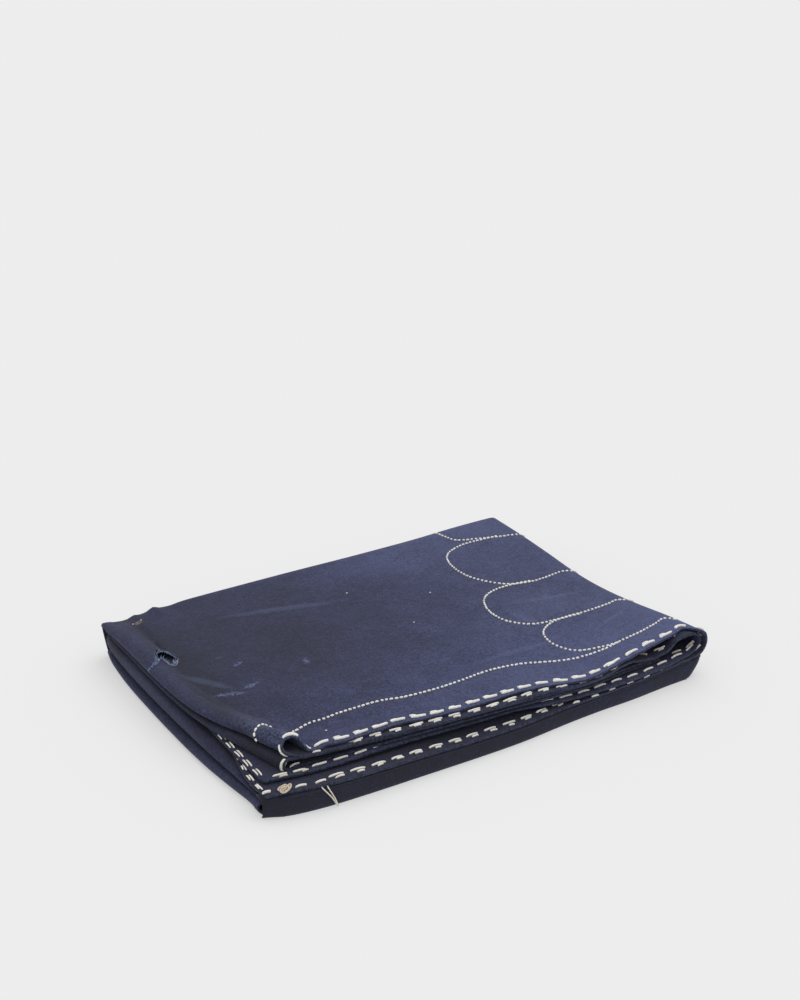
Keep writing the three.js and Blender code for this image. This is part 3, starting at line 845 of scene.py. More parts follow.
def tone_with_painted_light(x, y, along):
    """The cloth's tone, fade with painted light and shade: lightest on the top ply toward its
    right, front and back, which is painted light; darkest inside the folds, which is painted shade,
    and on the front wall."""
    # Painted light and shade on the top ply, from the light at the back right: lighter toward the
    # right, the front and the back right, darker in the middle and at the far left, lighter on the
    # ridge behind the tear
    places = {
        "toward_right": rise(x, 0, 345) ** 1.15,
        "far_left": 1 - rise(x, 8, 34),
        "front": 1 - rise(y, 0, 120),
        "back": rise(y, 185, 55) * rise(x, 130, 110),
        "middle": np.exp(-(((x - 110) / 110) ** 2) - ((y - 170) / 60) ** 2),
        "behind_tear": np.exp(-(((x - 7) / 9) ** 2)) * rise(y, 168, 8),
    }
    top = TOP_TONE_AND_LIGHT["all_over"] + sum(TOP_TONE_AND_LIGHT[name] * share for name, share in places.items())
    # Painted shade inside the folds: lighter near the hems and the left edges, darkest deeper in
    # and inside the right loops
    hem = np.exp(-((np.maximum(y - 4, 0) / 13) ** 2))
    near_left = 1 - rise(x, 8, 14)
    in_loop = rise(x, 262, 26) * ease((along - 356) / 8 + (along < 40) * 1.0)
    inside = mix(INSIDE_SHADE_TONE * np.maximum(hem, near_left), 0, in_loop)
    wall = WALL_TONE["left"] + WALL_TONE["more_at_right"] * rise(x, 120, 200)
    # The left faces are lighter; painted shade darkens them near the front corner and toward the
    # back
    left_face = 1 - rise(x, left_edge("tall_fold", y) + 3.5, 6)
    left_face *= rise(y, 4, 26) * (1 - 0.8 * rise(y, 205, 30))
    hidden = np.where(along > LOWER_START, mix(wall, LEFT_FACE_TONE, left_face), inside)
    shown = rise(along, 4, 18) * (1 - rise(along, 356, 8))
    return np.where(along < OUTER_END, mix(hidden, top, shown), hidden)


# Hem sewing, in millimetres: rows of long dashes, with a second short strand beside many of
# them. Each row has its ply, the middle of its first dash and its end in x, how far it runs
# behind the hem's edge, its pitch, the length and thickness of a dash, and how beige its
# thread is, from dirt and as painted shade on the lower plies. A thickness of None is the
# hem thread's own.
HEM_PITCH = 14.0
HEM_WAVER = {"size": 0.35, "length": 9}
HEM_ROWS = (
    ("top", 52.6, 269, 4.1, 13.96, 11.3, 2.1, 0),
    ("top", 277, 356, 3.7, 17.5, 12.6, 2.1, 0),
    ("top", 64, 262, 5.6, 13.96, 6, 1.4, 0),
    ("top", 275, 350, 5.2, 17.5, 6.4, 1.4, 0),
    ("second", 74.4, 254, 3.9, 14.33, 10.6, 1.6, 0.12),
    ("second", 75.4, 252, 2, 14.33, 6, 1.4, 0.12),
    ("fifth", 20, 34, 3.6, 12.8, 9.4, 1.6, 0.22),
    ("fifth", 46.8, 353, 4.2, 14.5, 11, 1.6, 0.22),
    ("fifth", 21, 42, 1.8, 14.6, 5, None, 0.5),
    ("sixth", 5.6, 7, 4.4, 12.9, 5.6, 2.2, 0.15),
    ("sixth", 27.1, 45, 4.2, 13.1, 8.2, 1.7, 0.1),
    ("sixth", 52.1, 232, 6.4, 14.75, 10.8, 1.7, 0.12),
    ("sixth", 53, 230, 4.2, 14.75, 6.4, 1.5, 0.12),
    ("sixth", 240.8, 330, 0.8, 15.7, 6.6, 1.5, 0.2),
)

# Side rows of the two free left ends: the ply, how far in from the end, from and to behind
# the front, then pitch, dash, thickness and how beige from dirt and painted shade as above
SIDE_ROWS = (
    ("fifth", 3.4, 8.4, 80, 12.3, 9, 1.25, 0.25),
    ("fifth", 1.5, 9.6, 80, 12.3, 7.8, 1.1, 0.25),
    ("sixth", 2.9, 8.4, 54, 12, 8, 1.25, 0.15),
    ("sixth", 1.2, 9.6, 53, 12, 6.4, 1.1, 0.2),
)

# Single stitches round the roll's mouth, the folds at the left and the loops at the right:
# the strip, its outer (1) or inner (-1) face, thickness, how beige from dirt and from painted
# shade deep in the folds, and places (along, behind)
FOLD_STITCHES = (
    ("outer", 1, 2.3, 0, ((25.5, 1.8), (28.5, 1.6), (31.5, 1.6), (34, 1.8))),
    ("outer", 1, None, 0, ((20.6, 2.6), (18, 2.4), (15, 2.4), (12, 2.4), (9.4, 2.6))),
    ("outer", 1, 1.3, 0, ((37.4, 2.6), (39.5, 2.6), (41.5, 2.6), (44, 2.8))),
    ("outer", -1, None, 0.1, ((-1, 2.4), (-6, 2.4))),
    ("inner", -1, 1.8, 0.25, ((25.6, 2), (23.4, 1.7), (20.4, 1.7), (16.6, 2))),
    ("inner", 1, 1.1, 0.4, ((26, 1.2), (23.4, 1), (20.8, 1.2))),
    ("inner", 1, None, 0.3, ((13.4, 2), (10.4, 1.8), (7, 2))),
    ("inner", 1, 0.9, 0, ((21, 30.8), (18.5, 30.8), (15.6, 28.6))),
    ("outer", -1, None, 0.1, ((-279.5, 7.2), (-283.5, 6), (-287, 4.9))),
    ("outer", -1, 1.2, 0.2, ((-280.5, 4.6), (-284.5, 4))),
    ("outer", -1, None, 0.5, ((-268.5, 8.8), (-270.3, 5.2))),
    ("outer", 1, 1.7, 0.5, ((-346.7, 9.3), (-342.6, 8.6), (-338.7, 7.8))),
    ("outer", 1, 2, 0.45, ((-333.3, 5.9), (-328, 5.6), (-323.7, 4.9))),
    ("outer", -1, 1.6, 0.3, ((376.3, 5), (372.3, 4.6), (369.5, 3.8))),
    ("outer", -1, 1.1, 0.5, ((358.7, 7.6), (360.1, 6), (361.8, 4.4))),
    ("outer", -1, 1.2, 0.3, ((-297.3, 5.3), (-300.4, 6.2))),
    ("outer", -1, None, 0.3, ((-228.8, 4.1), (-232, 2.8), (-234.9, 1.4))),
    ("outer", -1, 1.2, 0.2, ((-229, 2), (-232.6, 1))),
    ("outer", -1, None, 0.05, ((-215.2, 2.6), (-219.9, 1.5))),
)

# Fine sashiko stitching on the top ply, in millimetres: scallops that come in from the
# right fold, turn and go back to it, and one long line that runs to the left mouth
SASHIKO_LINES = (
    (
        (290, 255.5), (292, 245), (296, 233), (310, 226), (323.6, 221), (330.2, 218.5),
        (337.2, 216.5), (343.9, 215.3), (350, 214),
    ),
    (
        (328, 221), (312, 222.5), (294, 222.8), (279, 217.6), (271, 209), (266, 191.6),
        (267.4, 171.6), (276, 155), (288, 144), (305.5, 139.5), (317.7, 139.3), (326.7, 140),
        (336.6, 139.8), (344, 139.6), (350, 139.6),
    ),
    (
        (305, 140.6), (292.9, 142.4), (275.4, 143), (262, 139), (252.6, 130.4), (246, 112.6),
        (247.8, 94), (260, 79.4), (279.4, 74.4), (293.5, 73.2), (303.3, 71.8), (319.2, 71),
        (336.4, 70.4), (344, 71.4), (350, 72.4),
    ),
    (
        (300, 71.6), (286.5, 73.3), (272, 72.6), (260, 65.2), (256.3, 53.6), (259.6, 41),
        (268, 31), (284.8, 23), (293, 20.9), (303.4, 20.5), (317.8, 19.8), (327.5, 20.3),
        (336.3, 20.8), (344.2, 21), (352, 22),
    ),
    (
        (296, 20.6), (282.5, 20.6), (265.7, 23.8), (236, 31.6), (212.5, 34.6), (188.7, 34.6),
        (163, 32.8), (130, 32.4), (110.8, 33.4), (90.9, 33.7), (73.2, 32.7), (61, 30.9),
        (53.4, 30.1), (46.9, 28.1), (42.2, 26.4),
    ),
    (
        (33, 36.5), (28.5, 35.4), (23.6, 31.8), (19.8, 28.8), (16.5, 27.4), (14, 26.6),
        (12, 25.9),
    ),
)

# The knot on the sixth ply's front left corner, its three-leaved rosette of thread with the
# core that fills it, and the two thread ends that hang beside it. No thread here is cut into
# stitches, so its pitch is longer than any of them.
KNOT = {"at": (16, 0.9), "seat": 4, "radius": 2.6, "height": 1.9, "lift": 1.6, "thread": 1.5}
KNOT_SOIL = 0.95
KNOT_CORE = {"places": ((-2.6, -0.6, 1.4), (0, 0, 2.6), (2.6, 0.8, 1.4)), "thread": 3.4}
LOOSE_ENDS = (
    (
        (39, 1.5, 15.2), (38.4, -3, 15.1), (38.2, -7.2, 14.2), (40.6, -9.6, 11),
        (43.4, -10.2, 7), (46.4, -10.6, 1.4),
    ),
    (
        (43, 1.0, 15.3), (42.2, -4, 15.0), (41.8, -7.8, 13.8), (43.4, -9.8, 10),
        (45.2, -10.3, 6), (46.9, -11.0, 0.9),
    ),
)
END_THREAD = {"thick": 1.05, "soil": 0.4}
UNCUT = 500

# How far apart the points of the thread lines lie: hem rows, single stitches, fine lines
# (the sashiko and the torn rim) and lint
STEP = {"row": 1.0, "single": 0.6, "fine": 0.5, "lint": 0.3}
SINGLE_SPARE = 1.15

# Specks of lint: the strip, and the place (along, behind) of each
LINT = (
    ("outer", 173.8, 198), ("outer", 190.6, 126), ("outer", 227.3, 164), ("outer", 17, 240.8),
    ("outer", 24.5, 243.9), ("outer", 62, 17.5), ("inner", 0.5, 110),
)
LINT_SPECK = {"half": 0.6, "bow": 0.3, "lift": 0.2, "thick": 0.9}


def rgb(hex_colour):
    """An sRGB hex colour as linear RGBA."""
    parts = [((hex_colour >> shift) & 255) / 255 for shift in (16, 8, 0)]
    linear = [c / 12.92 if c <= 0.04045 else ((c + 0.055) / 1.055) ** 2.4 for c in parts]
    return (*linear, 1.0)


MATH, VECTOR, COMPARE = "ShaderNodeMath", "ShaderNodeVectorMath", "FunctionNodeCompare"


def add(tree, kind, inputs=None, **settings):
    """Adds a node; inputs maps its sockets to values or to the sockets they are linked from."""
    node = tree.nodes.new(kind)
    for key, value in settings.items():
        setattr(node, key, value)
    for key, value in (inputs or {}).items():
        if isinstance(value, bpy.types.NodeSocket):
            tree.links.new(value, node.inputs[key])
        else:
            node.inputs[key].default_value = value
    return node


def add_steps(tree, named, steps):
    """Adds a node for each step: its result, its kind, its operation, and its terms, which are
    numbers or the names of results that are there already."""
    for result, kind, operation, *terms in steps:
        terms = [named[term] if isinstance(term, str) else term for term in terms]
        node = add(tree, kind, dict(enumerate(terms)), operation=operation)
        named[result] = node.outputs[0]


def new_material(name):
    """An empty node material and its tree."""
    material = bpy.data.materials.new(name)
    material.use_nodes = True
    tree = material.node_tree
    tree.nodes.clear()
    return material, tree


# Marks of the top ply as (along, behind), half sizes and turn in degrees: rubbed spots,
# painted highlights along creases, the stains at the back left, and painted shade for a
# pinhole and two thin dark lines
ABRASIONS = (
    ((30, 92), (13, 4.2), -8),
    ((47, 99), (9, 3.4), 10),
    ((52.5, 133), (6, 3), 20),
    ((46.5, 151), (3.4, 2.2), 0),
    ((95.4, 112), (6, 3.4), 60),
)
# Painted highlights: faint light streaks along creases of the top ply
CREASE_HIGHLIGHTS = (
    ((24, 118), (30, 5), -60),
    ((318, 52), (30, 2.6), 14),
    ((300, 110), (42, 4), -12),
    ((232, 52), (48, 3.4), 6),
    ((262, 92), (6, 22), 12),
    ((120, 200), (60, 5), -14),
)
STAINS = (
    ((21.4, 241.5), (4.4, 3.4), 30),
    ((LOWER_SHIFT + 3, 236), (3, 9), 0),
)
# Painted shade: dark marks for the pinhole in the stain and two thin dark lines near it
HOLE_SHADE_MARKS = (
    ((22.4, 241.8), (1.1, 0.8), 0),
    ((27, 231), (4, 0.7), 160),
    ((36, 229), (4.5, 0.6), 175),
)


def patches(tree, flat, places, edge):
    """1 inside worn patches and 0 outside, with the ragged edge of the noise that is given."""
    named = {"edge": edge}
    for at, half, turn in places:
        here = {
            "Vector": flat,
            "Location": (at[0] * MM, at[1] * MM, 0),
            "Rotation": (0, 0, math.radians(turn)),
            "Scale": (half[0] * MM, half[1] * MM, 1),
        }
        here = {"Vector": add(tree, "ShaderNodeMapping", here, vector_type="TEXTURE").outputs[0]}
        falloff = add(tree, "ShaderNodeTexGradient", here, gradient_type="SPHERICAL")
        named["falloff"] = falloff.outputs["Fac"]
        if "total" in named:
            add_steps(tree, named, [("total", MATH, "MAXIMUM", "total", "falloff")])
        else:
            named["total"] = named["falloff"]
    add_steps(tree, named, [("ragged", MATH, "MULTIPLY", "total", "edge")])
    ragged = {"Value": named["ragged"], "From Min": 0.06, "From Max": 0.5}
    return add(tree, "ShaderNodeMapRange", ragged).outputs[0]


def indigo_cotton(settings, name, painted_shade_scale):
    """Indigo-dyed plain-weave cotton, hand-woven and washed soft.

    To the eye it is matt blue-black cloth with an uneven fade, a faint bloom where light grazes
    it, fine slubs along its threads and paler, fuzzy worn spots. Its tone also holds painted light
    and shade, with faint painted highlights along creases. The face that lies inside the folds is
    a darker copy whose tone is scaled down as painted shade.
    """
    material, tree = new_material(name)
    flat = add(tree, "ShaderNodeUVMap", uv_map="flat_cloth").outputs["UV"]
    solid = add(tree, "ShaderNodeTexCoord").outputs["Object"]
    place = add(tree, "ShaderNodeSeparateXYZ", {"Vector": flat}).outputs
    named = {"x": place["X"], "y": place["Y"]}
    for field in ("faded", "worn"):
        named[field] = add(tree, "ShaderNodeAttribute", attribute_name=field).outputs["Fac"]

    # Slubs are thick places in the yarn, 12 to 25 mm long and about 1 mm wide, along both
    # ways. Then come washed-out clouds about 40 mm across, smaller blotches, and grain of lint
    # and washed-out thread crossings about 1.5 mm across, coarser than real so that it shows.
    slub_ways = [
        add(tree, "ShaderNodeMapping", {"Vector": flat, "Scale": scale}).outputs[0]
        for scale in ((46, 850, 1), (900, 70, 1))
    ]
    for result, vector, scale, detail in (
        ("weft_slubs", slub_ways[0], 1, 3),
        ("warp_slubs", slub_ways[1], 1, 3),
        ("cloud", flat, 24, 4),
        ("blotch", flat, 120, 3),
        ("grain", solid, 620, 2),
        ("lint", solid, 1300, 1),
    ):
        inputs = {"Vector": vector, "Scale": scale, "Detail": detail, "Roughness": 0.6}
        named[result] = add(tree, "ShaderNodeTexNoise", inputs).outputs["Fac"]

    # Threads 0.45 mm apart would be finer than a pixel, so the weave repeats every 1.1 mm
    turns = 2 * math.pi / settings.weave_repeat
    steps = [
        ("x_angle", MATH, "MULTIPLY", "x", turns),
        ("x_wave", MATH, "SINE", "x_angle"),
        ("y_angle", MATH, "MULTIPLY", "y", turns),
        ("y_wave", MATH, "SINE", "y_angle"),
        ("relief", MATH, "MULTIPLY", "x_wave", "y_wave"),
        # Painted shade: the tone is scaled down on the face inside the folds
        ("tone", MATH, "MULTIPLY", "faded", painted_shade_scale),
    ]
    for source, amount in (
        ("weft_slubs", 0.3),
        ("warp_slubs", 0.3),
        ("cloud", 0.46),
        ("blotch", 0.26),
        ("grain", 0.95),
        ("lint", 0.5),
    ):
        steps += (
            ("centred", MATH, "SUBTRACT", source, 0.5),
            ("scaled", MATH, "MULTIPLY", "centred", amount),
            ("tone", MATH, "ADD", "tone", "scaled"),
        )
    for source, amount in (("weft_slubs", 2.2), ("warp_slubs", 1.2), ("grain", 1.6)):
        steps.append(("relief", MATH, "MULTIPLY_ADD", source, amount, "relief"))
    add_steps(tree, named, steps)
    # The ramp turns the tone into colour; the tone holds painted light and shade besides the fade
    dye = add(tree, "ShaderNodeValToRGB", {"Fac": named["tone"]})
    ramp = dye.color_ramp
    ramp.elements[0].position, ramp.elements[0].color = 0.0, settings.deep_indigo
    ramp.elements[1].position, ramp.elements[1].color = 1.0, settings.faded_indigo
    middle = ramp.elements.new(0.4)
    middle.color = settings.worn_in_indigo

    colour = dye.outputs["Color"]
    for result, limits in (
        ("fuzz", {"Value": named["grain"], "From Min": 0.38, "From Max": 0.62}),
        ("edge", {"Value": named["blotch"], "To Min": 0.2, "To Max": 1.5}),
    ):
        named[result] = add(tree, "ShaderNodeMapRange", limits).outputs[0]
    for result, places, broken_by in (
        ("rubs", ABRASIONS, "fuzz"),
        ("blooms", CREASE_HIGHLIGHTS, "edge"),
        ("stains", STAINS, "edge"),
        ("hole_shade", HOLE_SHADE_MARKS, "fuzz"),
    ):
        named[result] = patches(tree, flat, places, named[broken_by])
    faint = (
        ("rubbed", MATH, "MULTIPLY", "worn", "fuzz"),
        ("rubs", MATH, "MULTIPLY", "rubs", 0.42),
        ("blooms", MATH, "MULTIPLY", "blooms", 0.1),
    )
    add_steps(tree, named, faint)
    for factor, tint in (
        ("rubs", settings.wear_and_highlight_blue),
        ("blooms", settings.wear_and_highlight_blue),
        ("rubbed", settings.wear_and_highlight_blue),
        ("stains", settings.stain_brown),
        ("hole_shade", settings.hole_shade_dark),
    ):
        layers = {"Factor": named[factor], "A": colour, "B": tint}
        colour = add(tree, "ShaderNodeMix", layers, data_type="RGBA").outputs["Result"]
    shader = add(
        tree,
        "ShaderNodeBsdfPrincipled",
        {
            "Base Color": colour,
            "Roughness": 0.92,
            "IOR": 1.5,
            "Specular IOR Level": 0.2,
            "Sheen Weight": 0.22,
            "Sheen Roughness": 0.45,
            "Sheen Tint": rgb(0xB4BAD8),
        },
    )
    fine = add(
        tree,
        "ShaderNodeBump",
        {"Height": named["relief"], "Strength": 0.4, "Distance": 0.00012},
    )
    soft = add(
        tree,
        "ShaderNodeBump",
        {
            "Height": named["blotch"],
            "Strength": 0.35,
            "Distance": 0.0011,
            "Normal": fine.outputs[0],
        },
    )
    tree.links.new(soft.outputs[0], shader.inputs["Normal"])
    add(tree, "ShaderNodeOutputMaterial", {"Surface": shader.outputs[0]})
    return material


def cotton_thread(settings):
    """Plied white cotton sewing thread: off-white, soft and slightly hairy, with a visible
    twist, darker in its grooves as painted shade; where it has been touched and dirtied it has
    gone beige, and it is beige as painted shade where it lies deep in the folds."""
    material, tree = new_material("plied_white_cotton_thread")
    named = {}
    for field in ("run", "girth", "soil"):
        named[field] = add(tree, "ShaderNodeAttribute", attribute_name=field).outputs["Fac"]
    place = add(tree, "ShaderNodeTexCoord").outputs["Object"]
    fibre = {"Vector": place, "Scale": 900, "Detail": 3}
    named["fibre"] = add(tree, "ShaderNodeTexNoise", fibre).outputs[0]
    # One turn of the ply every 2.2 mm
    steps = (
        ("turns", MATH, "MULTIPLY_ADD", "run", 1 / (2.2 * MM), "girth"),
        ("angle", MATH, "MULTIPLY", "turns", 4 * math.pi),
        ("twist", MATH, "SINE", "angle"),
        ("handled", MATH, "MULTIPLY_ADD", "soil", "fibre", -0.1),
    )
    add_steps(tree, named, steps)
    # Painted shade: the thread is darker in the grooves of its twist
    lit = add(
        tree, "ShaderNodeMapRange", {"Value": named["twist"], "From Min": -1, "From Max": 0.4}
    ).outputs[0]
    white = add(
        tree,
        "ShaderNodeMix",
        {"Factor": lit, "A": settings.thread_groove_shade, "B": settings.thread_white},
        data_type="RGBA",
    ).outputs["Result"]
    # Beige from dirt, and as painted shade on stitches that lie deep in the folds
    beige_share = add(
        tree,
        "ShaderNodeMapRange",
        {"Value": named["handled"], "From Min": -0.1, "From Max": 0.45, "To Max": 0.85},
    ).outputs[0]
    colour = add(
        tree,
        "ShaderNodeMix",
        {"Factor": beige_share, "A": white, "B": settings.thread_soil_and_shade_beige},
        data_type="RGBA",
    ).outputs["Result"]
    shader = add(
        tree,
        "ShaderNodeBsdfPrincipled",
        {
            "Base Color": colour,
            "Roughness": 0.85,
            "IOR": 1.5,
            "Specular IOR Level": 0.25,
            "Sheen Weight": 0.15,
            "Sheen Roughness": 0.5,
        },
    )
    bump = {"Height": named["twist"], "Strength": 0.6, "Distance": 0.00012}
    bump = add(tree, "ShaderNodeBump", bump)
    tree.links.new(bump.outputs[0], shader.inputs["Normal"])
    add(tree, "ShaderNodeOutputMaterial", {"Surface": shader.outputs[0]})
    return material


def torn_fibre(settings):
    """Broken cotton yarn at a tear: the dye has gone from its ends, which are pale blue."""
    material, tree = new_material("frayed_cotton_yarn")
    place = add(tree, "ShaderNodeTexCoord").outputs["Object"]
    mottle = {"Vector": place, "Scale": 500, "Detail": 2}
    mottle = add(tree, "ShaderNodeTexNoise", mottle).outputs[0]
    colour = add(
        tree,
        "ShaderNodeMix",
        {"Factor": mottle, "A": settings.wear_and_highlight_blue, "B": settings.frayed_end},
        data_type="RGBA",
    ).outputs["Result"]
    shader = add(
        tree,
        "ShaderNodeBsdfPrincipled",
        {"Base Color": colour, "Roughness": 0.9, "IOR": 1.5, "Specular IOR Level": 0.2},
    )
    add(tree, "ShaderNodeOutputMaterial", {"Surface": shader.outputs[0]})
    return material


def tree_inputs(tree, sockets):
    """Names the inputs of a Geometry Nodes tree, and returns the node that gives them."""
    tree.interface.new_socket("Geometry", in_out="OUTPUT", socket_type="NodeSocketGeometry")
    for name, kind, value in sockets:
        socket = tree.interface.new_socket(name, in_out="INPUT", socket_type=kind)
        if value is not None:
            socket.default_value = value
    return add(tree, "NodeGroupInput").outputs


def sewing_tree():
    """Thread along drawn rows: it cuts each row into dashes by its pitch, lifts each dash over
    the cloth with both ends diving in, and gives it a round tapering thread."""
    tree = bpy.data.node_groups.new("running_stitch", "GeometryNodeTree")
    given = tree_inputs(
        tree,
        (
            ("Geometry", "NodeSocketGeometry", None),
            ("Lift", "NodeSocketFloat", 0.001),
            ("Dive", "NodeSocketFloat", 0.0005),
            ("Wander", "NodeSocketFloat", 0.0005),
            ("Sides", "NodeSocketInt", 6),
            ("Seed", "NodeSocketInt", 1),
            ("Thread", "NodeSocketMaterial", None),
        ),
    )
    named = {}
    for name, kind in (
        ("run", "FLOAT"),
        ("pitch", "FLOAT"),
        ("dash", "FLOAT"),
        ("thick", "FLOAT"),
        ("row", "FLOAT"),
        ("up", "FLOAT_VECTOR"),
        ("across", "FLOAT_VECTOR"),
    ):
        named[name] = add(
            tree, "GeometryNodeInputNamedAttribute", {"Name": name}, data_type=kind
        ).outputs["Attribute"]
    named.update({key: given[key] for key in ("Lift", "Dive", "Wander", "Seed")})
    # Which stitch of which row a point is on, and how far along its pitch it lies
    steps = (
        ("count", MATH, "DIVIDE", "run", "pitch"),
        ("whole", MATH, "FLOOR", "count"),
        ("part", MATH, "FRACT", "count"),
        ("stitch", MATH, "MULTIPLY_ADD", "row", 500, "whole"),
        ("seed_0", MATH, "ADD", "Seed", 0),
        ("seed_1", MATH, "ADD", "Seed", 7),
        ("seed_2", MATH, "ADD", "Seed", 14),
    )
    add_steps(tree, named, steps)
    for index in range(3):
        named[f"chance_{index}"] = add(
            tree,
            "FunctionNodeRandomValue",
            {"ID": named["stitch"], "Seed": named[f"seed_{index}"]},
            data_type="FLOAT",
        ).outputs[1]
    named["stretch"] = add(
        tree, "ShaderNodeMapRange", {"Value": named["chance_0"], "To Min": 0.86, "To Max": 1.05}
    ).outputs[0]
    # The dash rises as a flat-topped arch from t = 0 to 1, and past 1 there is a gap
    steps = (
        ("length", MATH, "MULTIPLY", "stretch", "dash"),
        ("gone", MATH, "MULTIPLY", "part", "pitch"),
        ("t", MATH, "DIVIDE", "gone", "length"),
        ("angle", MATH, "MULTIPLY", "t", math.pi),
        ("sine", MATH, "SINE", "angle"),
        ("hump", MATH, "MAXIMUM", "sine", 0.0),
        ("arch", MATH, "POWER", "hump", 0.34),
        ("raised", MATH, "MULTIPLY", "arch", "Lift"),
        ("lifted", MATH, "SUBTRACT", "raised", "Dive"),
        ("shift", MATH, "SUBTRACT", "chance_1", 0.5),
        ("tilt", MATH, "SUBTRACT", "chance_2", 0.5),
        ("from_middle", MATH, "SUBTRACT", "t", 0.5),
        ("turned", MATH, "MULTIPLY", "tilt", "from_middle"),
        ("aside", MATH, "MULTIPLY_ADD", "turned", 2.0, "shift"),
        ("drift", MATH, "MULTIPLY", "aside", "Wander"),
    )
    add_steps(tree, named, steps)
    for result, way, amount in (("upward", "up", "lifted"), ("sideways", "across", "drift")):
        inputs = {0: named[way], "Scale": named[amount]}
        named[result] = add(tree, VECTOR, inputs, operation="SCALE").outputs[0]
    named["width"] = add(
        tree, "ShaderNodeMapRange", {"Value": named["arch"], "To Min": 0.36, "To Max": 0.5}
    ).outputs[0]
    steps = (
        ("offset", VECTOR, "ADD", "upward", "sideways"),
        ("radius", MATH, "MULTIPLY", "width", "thick"),
        ("gap", COMPARE, "GREATER_THAN", "t", 1.0),
    )
    add_steps(tree, named, steps)

    moved = add(
        tree,
        "GeometryNodeSetPosition",
        {"Geometry": given["Geometry"], "Offset": named["offset"]},
    )
    keep_radius = add(
        tree,
        "GeometryNodeStoreNamedAttribute",
        {"Geometry": moved.outputs[0], "Name": "thread_radius", "Value": named["radius"]},
        data_type="FLOAT",
    )
    dashes = add(
        tree,
        "GeometryNodeDeleteGeometry",
        {"Geometry": keep_radius.outputs[0], "Selection": named["gap"]},
    )
    curves = add(tree, "GeometryNodeMeshToCurve", {"Mesh": dashes.outputs[0]})
    profile = add(
        tree, "GeometryNodeCurvePrimitiveCircle", {"Resolution": given["Sides"], "Radius": 1.0}
    )
    girth = add(tree, "GeometryNodeSplineParameter").outputs["Factor"]
    profile = add(
        tree,
        "GeometryNodeStoreNamedAttribute",
        {"Geometry": profile.outputs[0], "Name": "girth", "Value": girth},
        data_type="FLOAT",
    )
    stored_radius = add(
        tree, "GeometryNodeInputNamedAttribute", {"Name": "thread_radius"}, data_type="FLOAT"
    ).outputs["Attribute"]
    tube = add(
        tree,
        "GeometryNodeCurveToMesh",
        {
            "Curve": curves.outputs[0],
            "Profile Curve": profile.outputs[0],
            "Scale": stored_radius,
            "Fill Caps": True,
        },
    )
    smooth = add(tree, "GeometryNodeSetShadeSmooth", {"Geometry": tube.outputs[0]})
    real = add(tree, "GeometryNodeRealizeInstances", {"Geometry": smooth.outputs[0]})
    done = add(
        tree,
        "GeometryNodeSetMaterial",
        {"Geometry": real.outputs[0], "Material": given["Thread"]},
    )
    add(tree, "NodeGroupOutput", {"Geometry": done.outputs[0]})
    return tree


